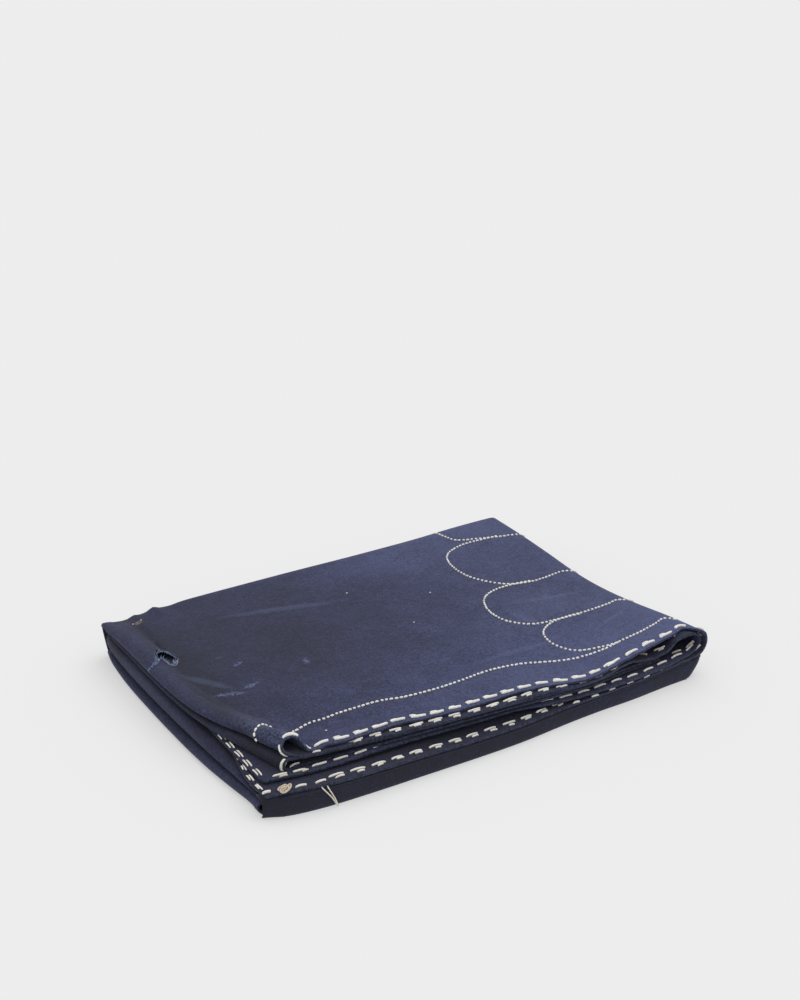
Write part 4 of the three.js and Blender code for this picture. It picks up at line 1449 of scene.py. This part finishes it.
def fray_tree():
    """Short broken yarns along a torn rim, each a thin curved spike turned its own way."""
    tree = bpy.data.node_groups.new("frayed_rim", "GeometryNodeTree")
    given = tree_inputs(
        tree,
        (
            ("Geometry", "NodeSocketGeometry", None),
            ("Spacing", "NodeSocketFloat", 0.001),
            ("Length", "NodeSocketFloat", 0.003),
            ("Spread", "NodeSocketFloat", 0.8),
            ("Seed", "NodeSocketInt", 1),
            ("Yarn", "NodeSocketMaterial", None),
        ),
    )
    rim = add(tree, "GeometryNodeMeshToCurve", {"Mesh": given["Geometry"]})
    points = add(
        tree,
        "GeometryNodeResampleCurve",
        {"Curve": rim.outputs[0], "Length": given["Spacing"]},
        mode="LENGTH",
    )
    spine = add(
        tree,
        "GeometryNodeCurveQuadraticBezier",
        {"Resolution": 4, "Start": (0, 0, 0), "Middle": (0.5, 0.16, 0.1), "End": (1, -0.1, 0.3)},
    )
    along = add(tree, "GeometryNodeSplineParameter").outputs["Factor"]
    taper = add(
        tree, "ShaderNodeMapRange", {"Value": along, "To Min": 0.075, "To Max": 0.015}
    ).outputs[0]
    ring = add(tree, "GeometryNodeCurvePrimitiveCircle", {"Resolution": 4, "Radius": 1.0})
    yarn = add(
        tree,
        "GeometryNodeCurveToMesh",
        {
            "Curve": spine.outputs[0],
            "Profile Curve": ring.outputs[0],
            "Scale": taper,
            "Fill Caps": True,
        },
    )
    outward = add(
        tree, "GeometryNodeInputNamedAttribute", {"Name": "out"}, data_type="FLOAT_VECTOR"
    ).outputs["Attribute"]
    facing = add(tree, "FunctionNodeAlignRotationToVector", {"Vector": outward}, axis="X")
    low = add(
        tree,
        "ShaderNodeVectorMath",
        {0: (-1, -0.5, -1), "Scale": given["Spread"]},
        operation="SCALE",
    )
    high = add(
        tree,
        "ShaderNodeVectorMath",
        {0: (1, 0.9, 1), "Scale": given["Spread"]},
        operation="SCALE",
    )
    swing = add(
        tree,
        "FunctionNodeRandomValue",
        {0: low.outputs[0], 1: high.outputs[0], "Seed": given["Seed"]},
        data_type="FLOAT_VECTOR",
    )
    swing = add(tree, "FunctionNodeEulerToRotation", {"Euler": swing.outputs[0]})
    turned = add(
        tree,
        "FunctionNodeRotateRotation",
        {"Rotation": facing.outputs[0], "Rotate By": swing.outputs[0]},
        rotation_space="LOCAL",
    )
    size = add(
        tree,
        "FunctionNodeRandomValue",
        {2: 0.35, 3: 1.15, "Seed": given["Seed"]},
        data_type="FLOAT",
    )
    size = add(
        tree, "ShaderNodeMath", {0: size.outputs[1], 1: given["Length"]}, operation="MULTIPLY"
    )
    yarns = add(
        tree,
        "GeometryNodeInstanceOnPoints",
        {
            "Points": points.outputs[0],
            "Instance": yarn.outputs[0],
            "Rotation": turned.outputs[0],
            "Scale": size.outputs[0],
        },
    )
    real = add(tree, "GeometryNodeRealizeInstances", {"Geometry": yarns.outputs[0]})
    smooth = add(tree, "GeometryNodeSetShadeSmooth", {"Geometry": real.outputs[0]})
    done = add(
        tree, "GeometryNodeSetMaterial", {"Geometry": smooth.outputs[0], "Material": given["Yarn"]}
    )
    add(tree, "NodeGroupOutput", {"Geometry": done.outputs[0]})
    return tree


def run_tree(piece, tree, values):
    """Runs a Geometry Nodes tree on a piece and leaves the result as its plain mesh."""
    modifier = piece.modifiers.new(tree.name, "NODES")
    modifier.node_group = tree
    for item in tree.interface.items_tree:
        if item.in_out == "INPUT" and item.name in values:
            modifier[item.identifier] = values[item.name]
    graph = bpy.context.evaluated_depsgraph_get()
    graph.update()
    made = bpy.data.meshes.new_from_object(piece.evaluated_get(graph), depsgraph=graph)
    piece.modifiers.clear()
    piece.data = made
    made.name = piece.name
    return piece


def link(name, data):
    """A new object in the scene."""
    piece = bpy.data.objects.new(name, data)
    bpy.context.scene.collection.objects.link(piece)
    return piece


def set_attribute(mesh, name, kind, values):
    """Stores one value for each point of a mesh."""
    field = "vector" if kind == "FLOAT_VECTOR" else "value"
    layer = mesh.attributes.new(name, kind, "POINT")
    layer.data.foreach_set(field, np.asarray(values, np.float32).ravel())


def add_grid(mesh, layers, points, along, behind, flip=False):
    """Adds one grid of points to a bmesh, with each point's place on the flat cloth."""
    rows, cols = points.shape[:2]
    placed = to_frame(points.reshape(-1, 3))
    flat = np.stack([along, behind], axis=2).reshape(-1, 2)
    verts = []
    for point, (u, v) in zip(placed, flat):
        vert = mesh.verts.new(point)
        vert[layers["along"]], vert[layers["behind"]] = u, v
        verts.append(vert)
    for row in range(rows - 1):
        for col in range(cols - 1):
            a = row * cols + col
            corners = [a, a + 1, a + cols + 1, a + cols]
            if flip:
                corners.reverse()
            face = mesh.faces.new([verts[i] for i in corners])
            face.smooth = True
            for loop, i in zip(face.loops, corners):
                loop[layers["flat"]].uv = flat[i] * MM


def open_tear(mesh, layers):
    """Cuts the cloth finely round the tear, raises the torn rim and opens the hole."""
    (low_u, high_u), (low_v, high_v) = TEAR_FIELD["along"], TEAR_FIELD["behind"]

    def place(item):
        return item[layers["along"]], item[layers["behind"]]

    def inside(vert):
        u, v = place(vert)
        return low_u < u < high_u and low_v < v < high_v

    edges = [edge for edge in mesh.edges if all(inside(vert) for vert in edge.verts)]
    bmesh.ops.subdivide_edges(mesh, edges=edges, cuts=TEAR_FIELD["cuts"], use_grid_fill=True)
    left, right = RAISED["along"]
    top = [vert for vert in mesh.verts if left < vert[layers["along"]] < right]
    top = [vert for vert in top if vert[layers["behind"]] < DEPTH + 0.5]
    along, behind = np.array([place(vert) for vert in top]).T
    for vert, height in zip(top, tear_relief(along, behind)):
        vert.co.z += height * MM
    holes = []
    for face in mesh.faces:
        u, v = np.mean([place(vert) for vert in face.verts], axis=0)
        if low_u < u < high_u and low_v < v < high_v:
            spot = Vector((u * RAGGED["scale"], v * RAGGED["scale"], RAGGED["seed"]))
            jag = RAGGED["size"] * noise.noise(spot)
            if in_hole(u + jag, v - jag):
                holes.append(face)
    bmesh.ops.delete(mesh, geom=holes, context="FACES")


def cloth_mesh(name, strips, grids):
    """One mesh of all the sheet's grids, with a UV map that holds places on the flat cloth."""
    mesh = bmesh.new()
    layers = {
        "flat": mesh.loops.layers.uv.new("flat_cloth"),
        "along": mesh.verts.layers.float.new("along"),
        "behind": mesh.verts.layers.float.new("behind"),
    }
    for strip in strips:
        flip = strip.zero == "low_first"
        add_grid(mesh, layers, strip.points, strip.along, strip.behind, flip)
    for points, along, behind in grids:
        add_grid(mesh, layers, points, along, behind)
    bmesh.ops.remove_doubles(mesh, verts=mesh.verts, dist=1e-6)
    open_tear(mesh, layers)
    data = bpy.data.meshes.new(name)
    mesh.to_mesh(data)
    mesh.free()
    return data


# How worn the cloth is, from 0 to 1: on hem edges, at the tear and on the crown of the roll
WORN = {"hem": 0.12, "hem_reach": 0.9, "tear": 0.75, "roll": 0.16}
ROLL_CROWN = {"along": (-4, 40), "height": 28, "over": 6, "behind": 40, "fall": 30}


def dress_cloth(data, outer):
    """Gives the cloth's points their tone of fade with painted light and shade, how worn and how
    much in a hem they are.
    """
    count = len(data.vertices)
    place = np.empty(count * 3)
    data.vertices.foreach_get("co", place)
    x, y, z = ((place.reshape(-1, 3) - np.array(CORNER)) / MM).T
    fields = []
    for name in ("along", "behind"):
        values = np.empty(count)
        data.attributes[name].data.foreach_get("value", values)
        fields.append(values)
        data.attributes.remove(data.attributes[name])
    along, behind = fields
    worn = WORN["hem"] * np.exp(-np.maximum(behind, 0) / WORN["hem_reach"]) * (along < HEMS_END)
    worn = np.maximum(worn, WORN["tear"] * near_tear(along, behind))
    left, right = ROLL_CROWN["along"]
    on_roll = (along > left) & (along < right)
    on_roll = on_roll * rise(z, ROLL_CROWN["height"], ROLL_CROWN["over"])
    worn += WORN["roll"] * on_roll * (1 - rise(behind, ROLL_CROWN["behind"], ROLL_CROWN["fall"]))
    set_attribute(data, "faded", "FLOAT", tone_with_painted_light(x, y, along))
    set_attribute(data, "worn", "FLOAT", np.clip(worn, 0, 1))
    return hem_share(along, behind, outer)


def half_thickness(settings, behind):
    """Half the cloth's thickness, in millimetres, at a distance behind the front edge."""
    share = in_hem(np.asarray(behind, float))
    return 0.5 * mix(settings.sheet_thickness, settings.hem_thickness, share) / MM


def smooth_line(stations, step, count=None):
    """Places every step, or a count of places, along a smooth line through stations."""
    stations = np.array(stations, float)
    lengths = np.linalg.norm(np.diff(stations, axis=0), axis=1)
    chord = np.concatenate([[0], np.cumsum(lengths)])
    at = np.linspace(0, chord[-1], count or max(int(chord[-1] / step), 2) + 1)
    return [through(chord, values, at) for values in stations.T]


def thread_row(points, up, pitch, dash, thick, soil=0.0):
    """One row of stitching: its line in millimetres and its sizes."""
    return {"points": points, "up": up, "pitch": pitch, "dash": dash, "thick": thick, "soil": soil}


def thread_lines(name, rows):
    """A mesh of bare edges that the sewing tree reads: one line for each row."""
    sizes = ("pitch", "dash", "thick")
    parts = {key: [] for key in ("place", "edges", "run", *sizes, "soil", "row", "up", "across")}
    start = 0
    for index, row in enumerate(rows):
        points, count = row["points"] * MM, len(row["points"])
        steps = np.linalg.norm(np.diff(points, axis=0), axis=1)
        tangent = np.gradient(points, axis=0)
        across = np.cross(row["up"], tangent)
        across /= np.maximum(np.linalg.norm(across, axis=1, keepdims=True), 1e-12)
        parts["place"].append(points + np.array(CORNER))
        parts["edges"] += [(start + i, start + i + 1) for i in range(count - 1)]
        parts["run"].append(np.concatenate([[0], np.cumsum(steps)]))
        for key in sizes:
            parts[key].append(np.full(count, row[key] * MM))
        parts["soil"].append(np.full(count, row["soil"]))
        parts["row"].append(np.full(count, index))
        parts["up"].append(row["up"])
        parts["across"].append(across)
        start += count
    data = bpy.data.meshes.new(name)
    data.from_pydata(np.concatenate(parts["place"]).tolist(), parts["edges"], [])
    for key in ("run", *sizes, "soil", "row"):
        set_attribute(data, key, "FLOAT", np.concatenate(parts[key]))
    for key in ("up", "across"):
        set_attribute(data, key, "FLOAT_VECTOR", np.concatenate(parts[key]))
    return link(name, data)


def on_face(strip, along, behind, face, settings):
    """Points on one face of a strip, and the way out of the cloth there; face 0 looks up."""
    points, normal = strip.place(along, behind)
    if face == 0:
        face = np.where(normal[:, 2:] < 0, -1.0, 1.0)
    normal = normal * face
    return points + normal * half_thickness(settings, behind)[:, None], normal


def hem_lines(settings):
    """All running stitches of the hems, as rows for the sewing tree."""
    cloth = bpy.context.scene.furoshiki_cloth
    outer, inner = make_strips()[:2]
    own = settings.hem_thread / MM
    rows = []
    for ply, first, to, inset, pitch, dash, thick, soil in HEM_ROWS:
        x = np.arange(first - dash / 2, to + dash / 2, STEP["row"])
        along = np.array([outer.along_at(ply, at, inset) for at in x])
        behind = inset + HEM_WAVER["size"] * np.sin(x / HEM_WAVER["length"] + first)
        points, up = on_face(outer, along, behind, 0, cloth)
        rows.append(thread_row(points, up, pitch, dash, thick or own, soil))
    for ply, inset, start, to, pitch, dash, thick, soil in SIDE_ROWS:
        behind = np.arange(start, to, STEP["row"])
        ends, inward = (outer.along[:, -1], 1) if ply == "fifth" else (outer.along[:, 0], -1)
        along = np.interp(behind, outer.distances, ends) + inward * inset
        points, up = on_face(outer, along, behind, 0, cloth)
        rows.append(thread_row(points, up, pitch, dash, thick, soil))
    strips = {"outer": outer, "inner": inner}
    for name, face, thick, soil, places in FOLD_STITCHES:
        strip = strips[name]
        along, behind = smooth_line(places, STEP["single"])
        points, up = on_face(strip, along + strip.shift, behind, face, cloth)
        # A little more than its own length, so that one stitch is never cut in two
        length = np.linalg.norm(np.diff(points, axis=0), axis=1).sum() * SINGLE_SPARE
        rows.append(thread_row(points, up, length, length, thick or own, soil))
    return rows


def sashiko_lines(settings):
    """The scallops and the long line of fine stitches, as rows for the sewing tree."""
    cloth = bpy.context.scene.furoshiki_cloth
    outer = make_strips()[0]
    rows = []
    for stations in SASHIKO_LINES:
        along, behind = smooth_line(stations, STEP["fine"])
        points, up = on_face(outer, along, behind, 1, cloth)
        pitch, dash = settings.fine_pitch / MM, settings.fine_dash / MM
        rows.append(thread_row(points, up, pitch, dash, settings.fine_thread / MM))
    return rows


def knot_lines():
    """The knot as a small rosette of thread, the two loose ends beside it, and the lint."""
    cloth = bpy.context.scene.furoshiki_cloth
    outer, inner = make_strips()[:2]
    x, y = KNOT["at"]
    along = outer.along_at("sixth", x, KNOT["seat"])
    seat = outer.place(np.array([along]), np.array([float(KNOT["seat"])]))[0][0, 2]
    # Two turns of three leaves, with faster small waves that lead the thread over and under
    t = np.linspace(0, 2 * math.pi, 90)
    wide = KNOT["radius"] * (0.62 + 0.38 * np.cos(3 * t))
    rosette = np.stack(
        [
            x + 1.35 * wide * np.cos(2 * t) + 1.1 * np.sin(5 * t + 1.1),
            y + wide * np.sin(2 * t) + 0.6 * np.cos(7 * t),
            seat + KNOT["lift"] + KNOT["height"] * (0.5 + 0.5 * np.sin(5 * t + 0.6)),
        ],
        axis=1,
    )
    core = np.array(KNOT_CORE["places"]) + (x, y, seat)
    rows = []
    for line, thick, soil in (
        (rosette, KNOT["thread"], KNOT_SOIL),
        (core, KNOT_CORE["thread"], 1.0),
    ):
        upward = np.tile((0.0, 0.0, 1.0), (len(line), 1))
        rows.append(thread_row(line, upward, UNCUT, UNCUT, thick, soil))
    for stations in LOOSE_ENDS:
        line = np.stack(smooth_line(stations, None, 40), axis=1)
        outward = np.tile((0.0, -1.0, 0.2), (len(line), 1))
        rows.append(thread_row(line, outward, UNCUT, UNCUT, **END_THREAD))
    strips = {"outer": outer, "inner": inner}
    half, bow = LINT_SPECK["half"], LINT_SPECK["bow"]
    for name, along, behind in LINT:
        strip = strips[name]
        speck = ((along - half, behind), (along, behind + bow), (along + half + 0.1, behind))
        along, behind = smooth_line(speck, STEP["lint"])
        points, up = on_face(strip, along + strip.shift, behind, 1, cloth)
        lifted = points + up * LINT_SPECK["lift"]
        rows.append(thread_row(lifted, up, UNCUT, UNCUT, LINT_SPECK["thick"]))
    return rows


# Where yarns have frayed: the far rim, the near edge of the hole and the flap's end, each
# with the way that its yarns point to the right and back
FRAYED_LINES = (
    (TEAR_RIM[1:11], (0.25, -1)),
    ((*TEAR_HOLE[7:], TEAR_HOLE[0]), (0.2, 0.9)),
    (((19.5, 163), (17.5, 161.2), (20, 158.5)), (0.4, 0.5)),
)
YARN_RISE = 0.35


def rim_lines(name):
    """The torn rim as lines of points, with the way that its broken yarns point."""
    cloth = bpy.context.scene.furoshiki_cloth
    outer = make_strips()[0]
    places, edges, out, start = [], [], [], 0
    for stations, (right, back) in FRAYED_LINES:
        along, behind = smooth_line(stations, STEP["fine"])
        points = on_face(outer, along, behind, 1, cloth)[0]
        points[:, 2] += tear_relief(along, behind)
        places.append(to_frame(points))
        out.append(np.tile((right, back, YARN_RISE), (len(points), 1)))
        edges += [(start + i, start + i + 1) for i in range(len(points) - 1)]
        start += len(points)
    data = bpy.data.meshes.new(name)
    data.from_pydata(np.concatenate(places).tolist(), edges, [])
    set_attribute(data, "out", "FLOAT_VECTOR", np.concatenate(out))
    return link(name, data)


def thread_material(settings):
    """The thread's material, made once."""
    found = bpy.data.materials.get("plied_white_cotton_thread")
    return found or cotton_thread(settings)


def sew(name, rows, settings, lift, dive, wander, sides, seed):
    """Runs the sewing tree over rows and lets the thread ride with the cloth."""
    tree = bpy.data.node_groups.get("running_stitch") or sewing_tree()
    values = {
        "Lift": lift * MM,
        "Dive": dive * MM,
        "Wander": wander * MM,
        "Sides": sides,
        "Seed": seed,
        "Thread": thread_material(settings),
    }
    piece = run_tree(thread_lines(name, rows), tree, values)
    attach(piece, "root")
    return piece


def length_property(name, description, millimetres):
    """A length that a user may change, given here in millimetres."""
    return bpy.props.FloatProperty(
        name=name,
        description=description,
        default=millimetres * MM,
        min=0,
        unit="LENGTH",
        precision=5,
    )


def colour_property(name, description, hex_colour):
    """A colour that a user may change, given here as sRGB hex."""
    return bpy.props.FloatVectorProperty(
        name=name,
        description=description,
        default=rgb(hex_colour),
        size=4,
        min=0,
        max=1,
        subtype="COLOR",
    )


class FuroshikiCloth(bpy.types.PropertyGroup):
    """Sizes and colours of the cloth."""

    sheet_thickness: length_property("Sheet thickness", "Thickness of the single cloth", 1.0)
    hem_thickness: length_property("Hem thickness", "Thickness of the turned hem", 1.7)
    weave_repeat: length_property("Weave repeat", "Two threads of the weave, drawn coarse", 1.1)
    # The three indigos span the tone ramp, whose tone also carries painted light and shade
    deep_indigo: colour_property("Deep indigo", "Cloth that light has hardly reached", 0x272832)
    worn_in_indigo: colour_property("Worn-in indigo", "Most of the cloth", 0x353852)
    faded_indigo: colour_property("Faded indigo", "Cloth that has faded most", 0x555C81)
    # Also the colour of the painted highlights along creases
    wear_and_highlight_blue: colour_property("Rubbed blue", "Rubbed spots and worn hem edges", 0x8090BC)
    stain_brown: colour_property("Stain brown", "The old stain at the back left", 0x6B625C)
    # Painted shade of the pinhole and the two thin lines
    hole_shade_dark: colour_property("Pinhole", "The pinhole in the stain and the worn line", 0x24242E)
    frayed_end: colour_property("Frayed end", "Ends of the broken yarns", 0xB9C6DC)


class FuroshikiSewing(bpy.types.PropertyGroup):
    """Sizes and colours of the sewing."""

    hem_thread: length_property("Hem thread", "Thickness of the hem's thread", 1.4)
    fine_pitch: length_property("Sashiko pitch", "From one fine stitch to the next", 3.45)
    fine_dash: length_property("Sashiko dash", "Length of a fine stitch", 2.4)
    fine_thread: length_property("Sashiko thread", "Thickness of the fine thread", 1.55)
    thread_white: colour_property("Thread", "Off-white cotton thread", 0xFFFEFA)
    # Painted shade in the grooves between the thread's plies
    thread_groove_shade: colour_property("Thread groove", "Thread where its plies meet", 0xE6E2D8)
    # Also the painted shade of stitches deep in the folds
    thread_soil_and_shade_beige: colour_property("Handled thread", "Thread that has gone beige", 0xBFA98A)


class FuroshikiStage(bpy.types.PropertyGroup):
    """The floor, light and camera."""

    floor_colour: colour_property("Floor", "Plain pale floor", 0xAEAEAE)
    sky_strength: bpy.props.FloatProperty(
        name="Sky", description="Strength of the even light", default=0.67, min=0
    )
    floor_glow: bpy.props.FloatProperty(
        name="Floor glow",
        description="Light that comes through the floor, as on a light table",
        default=1.0,
        min=0,
    )
    sun_strength: bpy.props.FloatProperty(
        name="Soft sun",
        description="Strength of the soft light from above",
        default=1.14,
        min=0,
    )
    lens: bpy.props.FloatProperty(
        name="Lens", description="Focal length in millimetres", default=57.6, min=1
    )


class FUROSHIKI_OT_lay_cloth(bpy.types.Operator):
    """Lay the folded cloth in the folds of its solid"""

    bl_idname = "furoshiki.lay_cloth"
    bl_label = "Lay the cloth"

    def execute(self, context):
        settings = context.scene.furoshiki_cloth
        outer, inner, lower = make_strips(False)
        grids = (band_grid(), back_grid(outer))
        data = cloth_mesh("furoshiki_cloth", (outer, inner, lower), grids)
        hem = dress_cloth(data, outer)
        piece = link("furoshiki_cloth", data)
        group = piece.vertex_groups.new(name="hem")
        for index in np.nonzero(hem > 0.01)[0].tolist():
            group.add([index], float(hem[index]), "REPLACE")
        # The face inside the folds is a darker copy of the cloth, as painted shade
        data.materials.append(indigo_cotton(settings, "indigo_cotton_inner_face_shaded", 0.3))
        data.materials.append(indigo_cotton(settings, "indigo_plain_weave_cotton", 1.0))
        sheet = piece.modifiers.new("sheet_thickness", "SOLIDIFY")
        sheet.thickness = settings.hem_thickness
        sheet.offset = 0
        sheet.material_offset = 1
        sheet.vertex_group = "hem"
        sheet.thickness_vertex_group = settings.sheet_thickness / settings.hem_thickness
        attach(piece, "root")
        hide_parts(CLOTH_NODE)
        return {"FINISHED"}


class FUROSHIKI_OT_sew_hems(bpy.types.Operator):
    """Sew the running stitches of the hems"""

    bl_idname = "furoshiki.sew_hems"
    bl_label = "Sew the hems"

    def execute(self, context):
        settings = context.scene.furoshiki_sewing
        shape = {"lift": 0.9, "dive": 0.3, "wander": 0.5, "sides": 7, "seed": 11}
        sew("hem_stitches", hem_lines(settings), settings, **shape)
        return {"FINISHED"}


class FUROSHIKI_OT_sew_sashiko(bpy.types.Operator):
    """Sew the fine sashiko scallops and the long line"""

    bl_idname = "furoshiki.sew_sashiko"
    bl_label = "Sew the sashiko"

    def execute(self, context):
        settings = context.scene.furoshiki_sewing
        shape = {"lift": 0.7, "dive": 0.2, "wander": 0.2, "sides": 6, "seed": 23}
        sew("sashiko_stitches", sashiko_lines(settings), settings, **shape)
        return {"FINISHED"}


class FUROSHIKI_OT_tie_knot(bpy.types.Operator):
    """Tie the knot and leave its loose ends"""

    bl_idname = "furoshiki.tie_knot"
    bl_label = "Tie the knot"

    def execute(self, context):
        settings = context.scene.furoshiki_sewing
        shape = {"lift": 0, "dive": 0, "wander": 0, "sides": 7, "seed": 5}
        sew("thread_knot_and_ends", knot_lines(), settings, **shape)
        return {"FINISHED"}


class FUROSHIKI_OT_fray_tear(bpy.types.Operator):
    """Fray the rim of the worn tear"""

    bl_idname = "furoshiki.fray_tear"
    bl_label = "Fray the tear"

    def execute(self, context):
        settings = context.scene.furoshiki_cloth
        values = {
            "Spacing": 0.45 * MM,
            "Length": 2.6 * MM,
            "Spread": 0.75,
            "Seed": 4,
            "Yarn": torn_fibre(settings),
        }
        piece = run_tree(rim_lines("frayed_yarns"), fray_tree(), values)
        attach(piece, "root")
        return {"FINISHED"}


# The floor's half size in metres; the soft light's way down and its spread in degrees; and
# the camera's place from the corner in millimetres, with its angles in degrees
FLOOR_HALF = 12.0
LIGHT = {"toward": (-0.34, -0.22, -1), "spread": 70}
CAMERA = {"place": (-370.0, -759.5, 555.5), "down": 22.13, "right": 31.70}


class FUROSHIKI_OT_set_stage(bpy.types.Operator):
    """Set the pale floor, the soft light and the camera"""

    bl_idname = "furoshiki.set_stage"
    bl_label = "Set the stage"

    def execute(self, context):
        settings = context.scene.furoshiki_stage
        data = bpy.data.meshes.new("pale_floor")
        ends = (-FLOOR_HALF, FLOOR_HALF)
        corners = [(ends[i], ends[j], 0) for i, j in ((0, 0), (1, 0), (1, 1), (0, 1))]
        data.from_pydata(corners, [], [(0, 1, 2, 3)])
        floor = link("pale_floor", data)
        floor.location.z = CAD_LOW.z
        # Translucent matt acrylic, lit from below: plain white with no gloss and faint shadows
        material, tree = new_material("matt_acrylic_light_table")
        shader = add(
            tree,
            "ShaderNodeBsdfPrincipled",
            {
                "Base Color": settings.floor_colour,
                "Roughness": 1.0,
                "Specular IOR Level": 0.0,
                "Emission Color": settings.floor_colour,
                "Emission Strength": settings.floor_glow,
            },
        )
        add(tree, "ShaderNodeOutputMaterial", {"Surface": shader.outputs[0]})
        data.materials.append(material)
        world = bpy.data.worlds.new("soft_studio")
        world.use_nodes = True
        background = world.node_tree.nodes["Background"]
        background.inputs["Color"].default_value = (1, 1, 1, 1)
        background.inputs["Strength"].default_value = settings.sky_strength
        context.scene.world = world
        context.scene.view_settings.view_transform = "Standard"
        # A wide soft light above, a little towards the back right
        light = bpy.data.lights.new("soft_window", "SUN")
        light.energy, light.angle = settings.sun_strength, math.radians(LIGHT["spread"])
        lamp = link("soft_window", light)
        lamp.rotation_mode = "QUATERNION"
        lamp.rotation_quaternion = Vector(LIGHT["toward"]).to_track_quat("-Z", "Y")
        camera = link("camera", bpy.data.cameras.new("camera"))
        camera.data.sensor_width = 36
        camera.data.lens = settings.lens
        camera.location = CORNER + Vector(CAMERA["place"]) * MM
        pitch, yaw = math.radians(CAMERA["down"]), math.radians(CAMERA["right"])
        forward = Vector(
            (math.sin(yaw) * math.cos(pitch), math.cos(yaw) * math.cos(pitch), -math.sin(pitch))
        )
        camera.rotation_mode = "QUATERNION"
        camera.rotation_quaternion = forward.to_track_quat("-Z", "Y")
        context.scene.camera = camera
        return {"FINISHED"}


STEPS = (
    FUROSHIKI_OT_lay_cloth,
    FUROSHIKI_OT_sew_hems,
    FUROSHIKI_OT_sew_sashiko,
    FUROSHIKI_OT_tie_knot,
    FUROSHIKI_OT_fray_tear,
    FUROSHIKI_OT_set_stage,
)


class FUROSHIKI_PT_panel(bpy.types.Panel):
    """Sizes, colours and steps of the folded furoshiki"""

    bl_idname = "FUROSHIKI_PT_panel"
    bl_label = "Folded furoshiki"
    bl_space_type = "VIEW_3D"
    bl_region_type = "UI"
    bl_category = "Furoshiki"

    def draw(self, context):
        layout = self.layout
        for group_name in GROUPS:
            group = getattr(context.scene, group_name)
            box = layout.box()
            for name in group.__annotations__:
                box.prop(group, name)
        for step in STEPS:
            layout.operator(step.bl_idname)


GROUPS = {
    "furoshiki_cloth": FuroshikiCloth,
    "furoshiki_sewing": FuroshikiSewing,
    "furoshiki_stage": FuroshikiStage,
}
CLASSES = (*GROUPS.values(), *STEPS, FUROSHIKI_PT_panel)


def register():
    for cls in CLASSES:
        bpy.utils.register_class(cls)
    for name, group in GROUPS.items():
        setattr(bpy.types.Scene, name, bpy.props.PointerProperty(type=group))


def unregister():
    for name in reversed(GROUPS):
        delattr(bpy.types.Scene, name)
    for cls in reversed(CLASSES):
        bpy.utils.unregister_class(cls)


def main():
    register()
    bpy.ops.furoshiki.set_stage()
    bpy.ops.furoshiki.lay_cloth()
    bpy.ops.furoshiki.sew_hems()
    bpy.ops.furoshiki.sew_sashiko()
    bpy.ops.furoshiki.tie_knot()
    bpy.ops.furoshiki.fray_tear()


if __name__ == "__main__":
    main()
